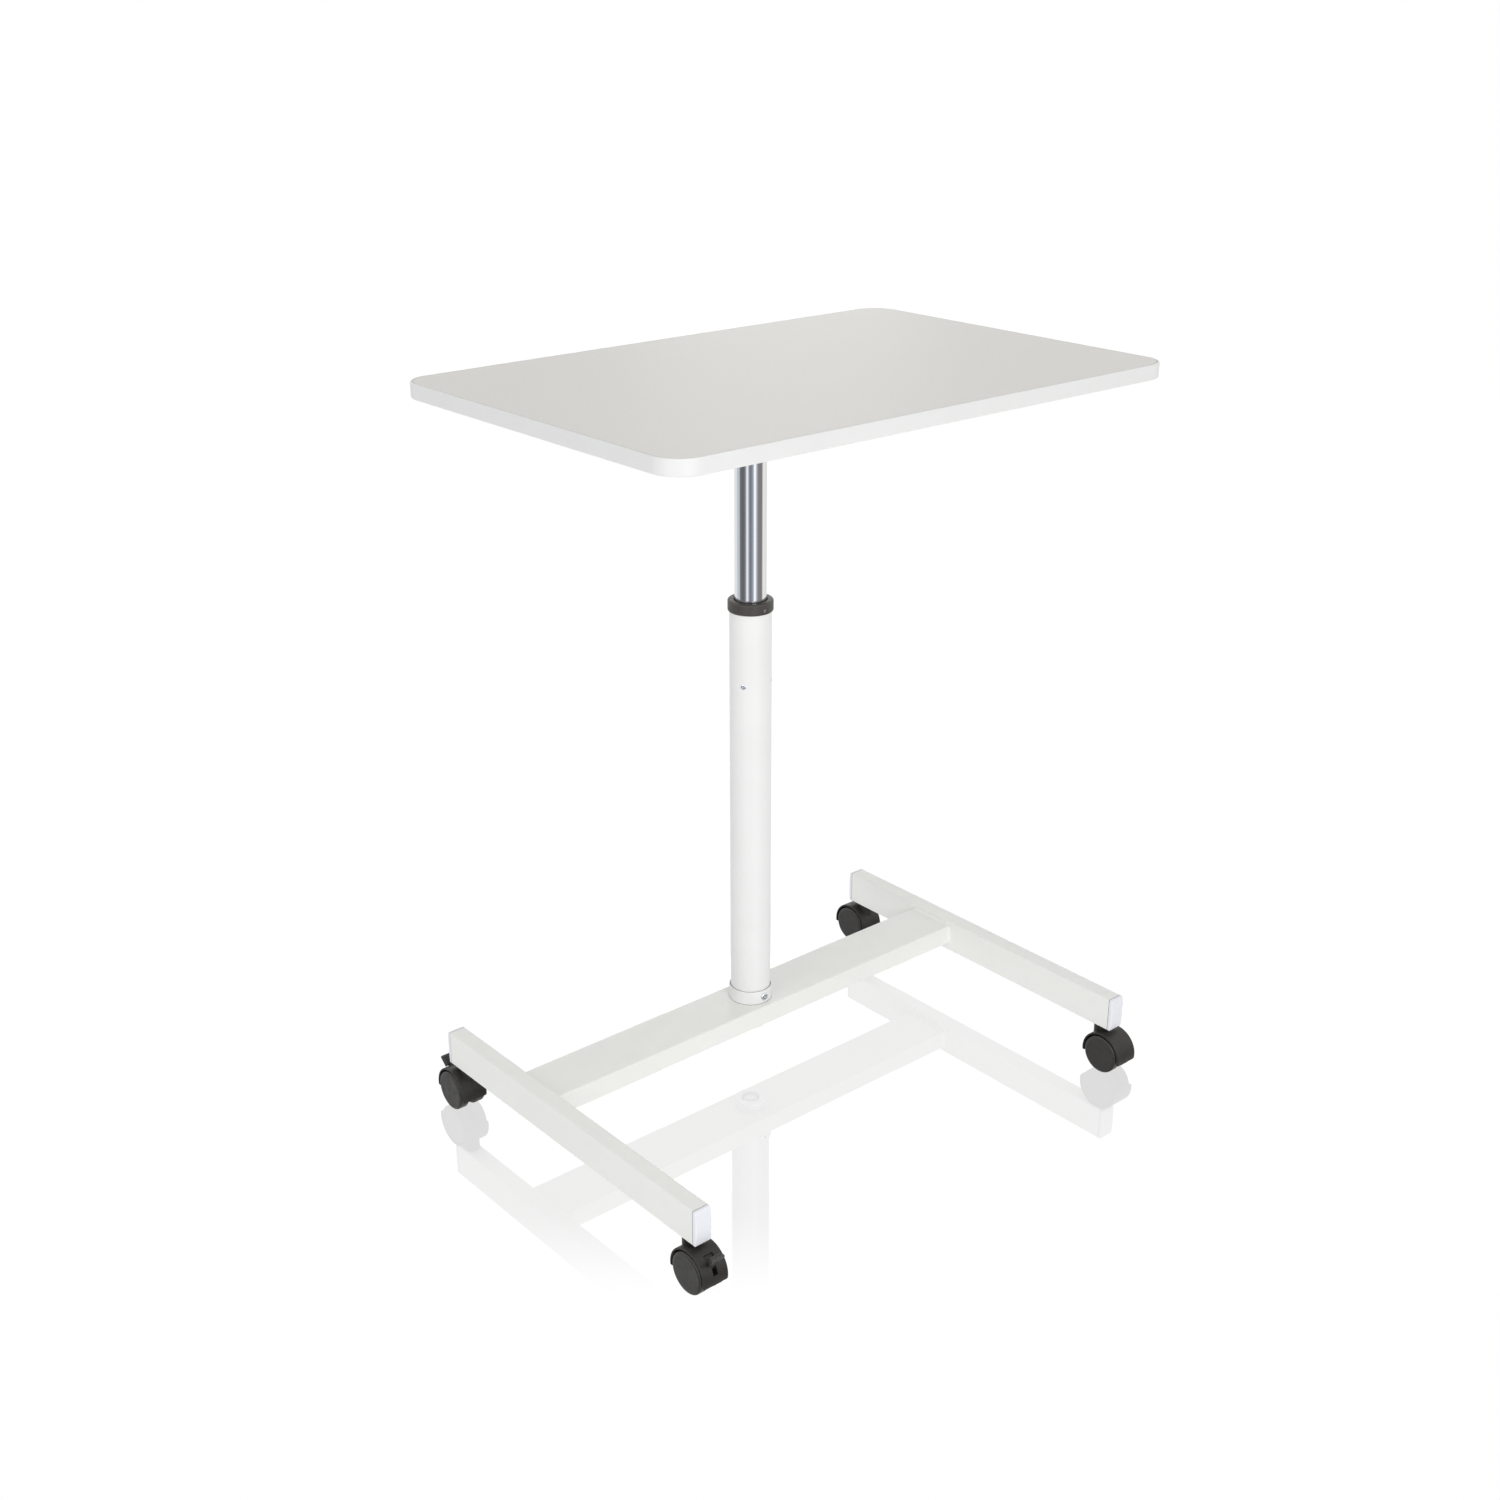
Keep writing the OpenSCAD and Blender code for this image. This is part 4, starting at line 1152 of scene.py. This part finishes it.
def studio_floor():
    """White floor with a weak mirror image that fades out towards the camera."""
    mesh = bpy.data.meshes.new("floor")
    sides = ((-1, -1), (1, -1), (1, 1), (-1, 1))
    corners = [(sx * FLOOR_REACH, sy * FLOOR_REACH, 0) for sx, sy in sides]
    mesh.from_pydata(corners, [], [(0, 1, 2, 3)])
    floor = bpy.data.objects.new("floor", mesh)
    bpy.context.scene.collection.objects.link(floor)
    material = bpy.data.materials.new("floor")
    material.use_nodes = True
    tree = material.node_tree
    tree.nodes.clear()
    spot = add_node(tree, "ShaderNodeNewGeometry").outputs["Position"]
    nearer = add_node(tree, "ShaderNodeVectorMath", operation="DOT_PRODUCT")
    nearer.inputs[1].default_value = (*TO_CAMERA, 0)
    tree.links.new(spot, nearer.inputs[0])
    distance = nearer.outputs["Value"]
    smooth = {"interpolation_type": "SMOOTHSTEP"}

    glow = add_node(tree, "ShaderNodeEmission")
    strength = add_range(tree, distance, FLOOR_FADE, (FLOOR_GLOW, 1.0), **smooth)
    tree.links.new(strength, glow.inputs["Strength"])
    gloss = add_node(tree, "ShaderNodeBsdfGlossy")
    gloss.inputs["Roughness"].default_value = FLOOR_ROUGHNESS
    grey = add_node(tree, "ShaderNodeCombineColor")
    for socket in grey.inputs[:3]:
        level = add_range(tree, distance, FLOOR_FADE, (FLOOR_MIRROR, 0.0), **smooth)
        tree.links.new(level, socket)
    tree.links.new(grey.outputs[0], gloss.inputs["Color"])
    both = add_node(tree, "ShaderNodeAddShader")
    tree.links.new(glow.outputs[0], both.inputs[0])
    tree.links.new(gloss.outputs[0], both.inputs[1])
    output = add_node(tree, "ShaderNodeOutputMaterial")
    tree.links.new(both.outputs[0], output.inputs["Surface"])
    mesh.materials.append(material)
    floor.visible_glossy = False


def studio_camera():
    """The camera that pictures are taken with."""
    data = bpy.data.cameras.new("camera")
    data.lens = CAMERA_LENS
    data.sensor_width = CAMERA_SENSOR
    camera = bpy.data.objects.new("camera", data)
    bpy.context.scene.collection.objects.link(camera)
    camera.location = CAMERA_AT
    camera.rotation_euler = (CAMERA_TILT, 0, CAMERA_TURN)
    bpy.context.scene.camera = camera


studio_world()
studio_floor()
for light_name, light_at, light_size, light_power in LIGHTS:
    soft_light(light_name, light_at, light_size, light_power)
studio_camera()
bpy.context.scene.view_settings.view_transform = "Standard"
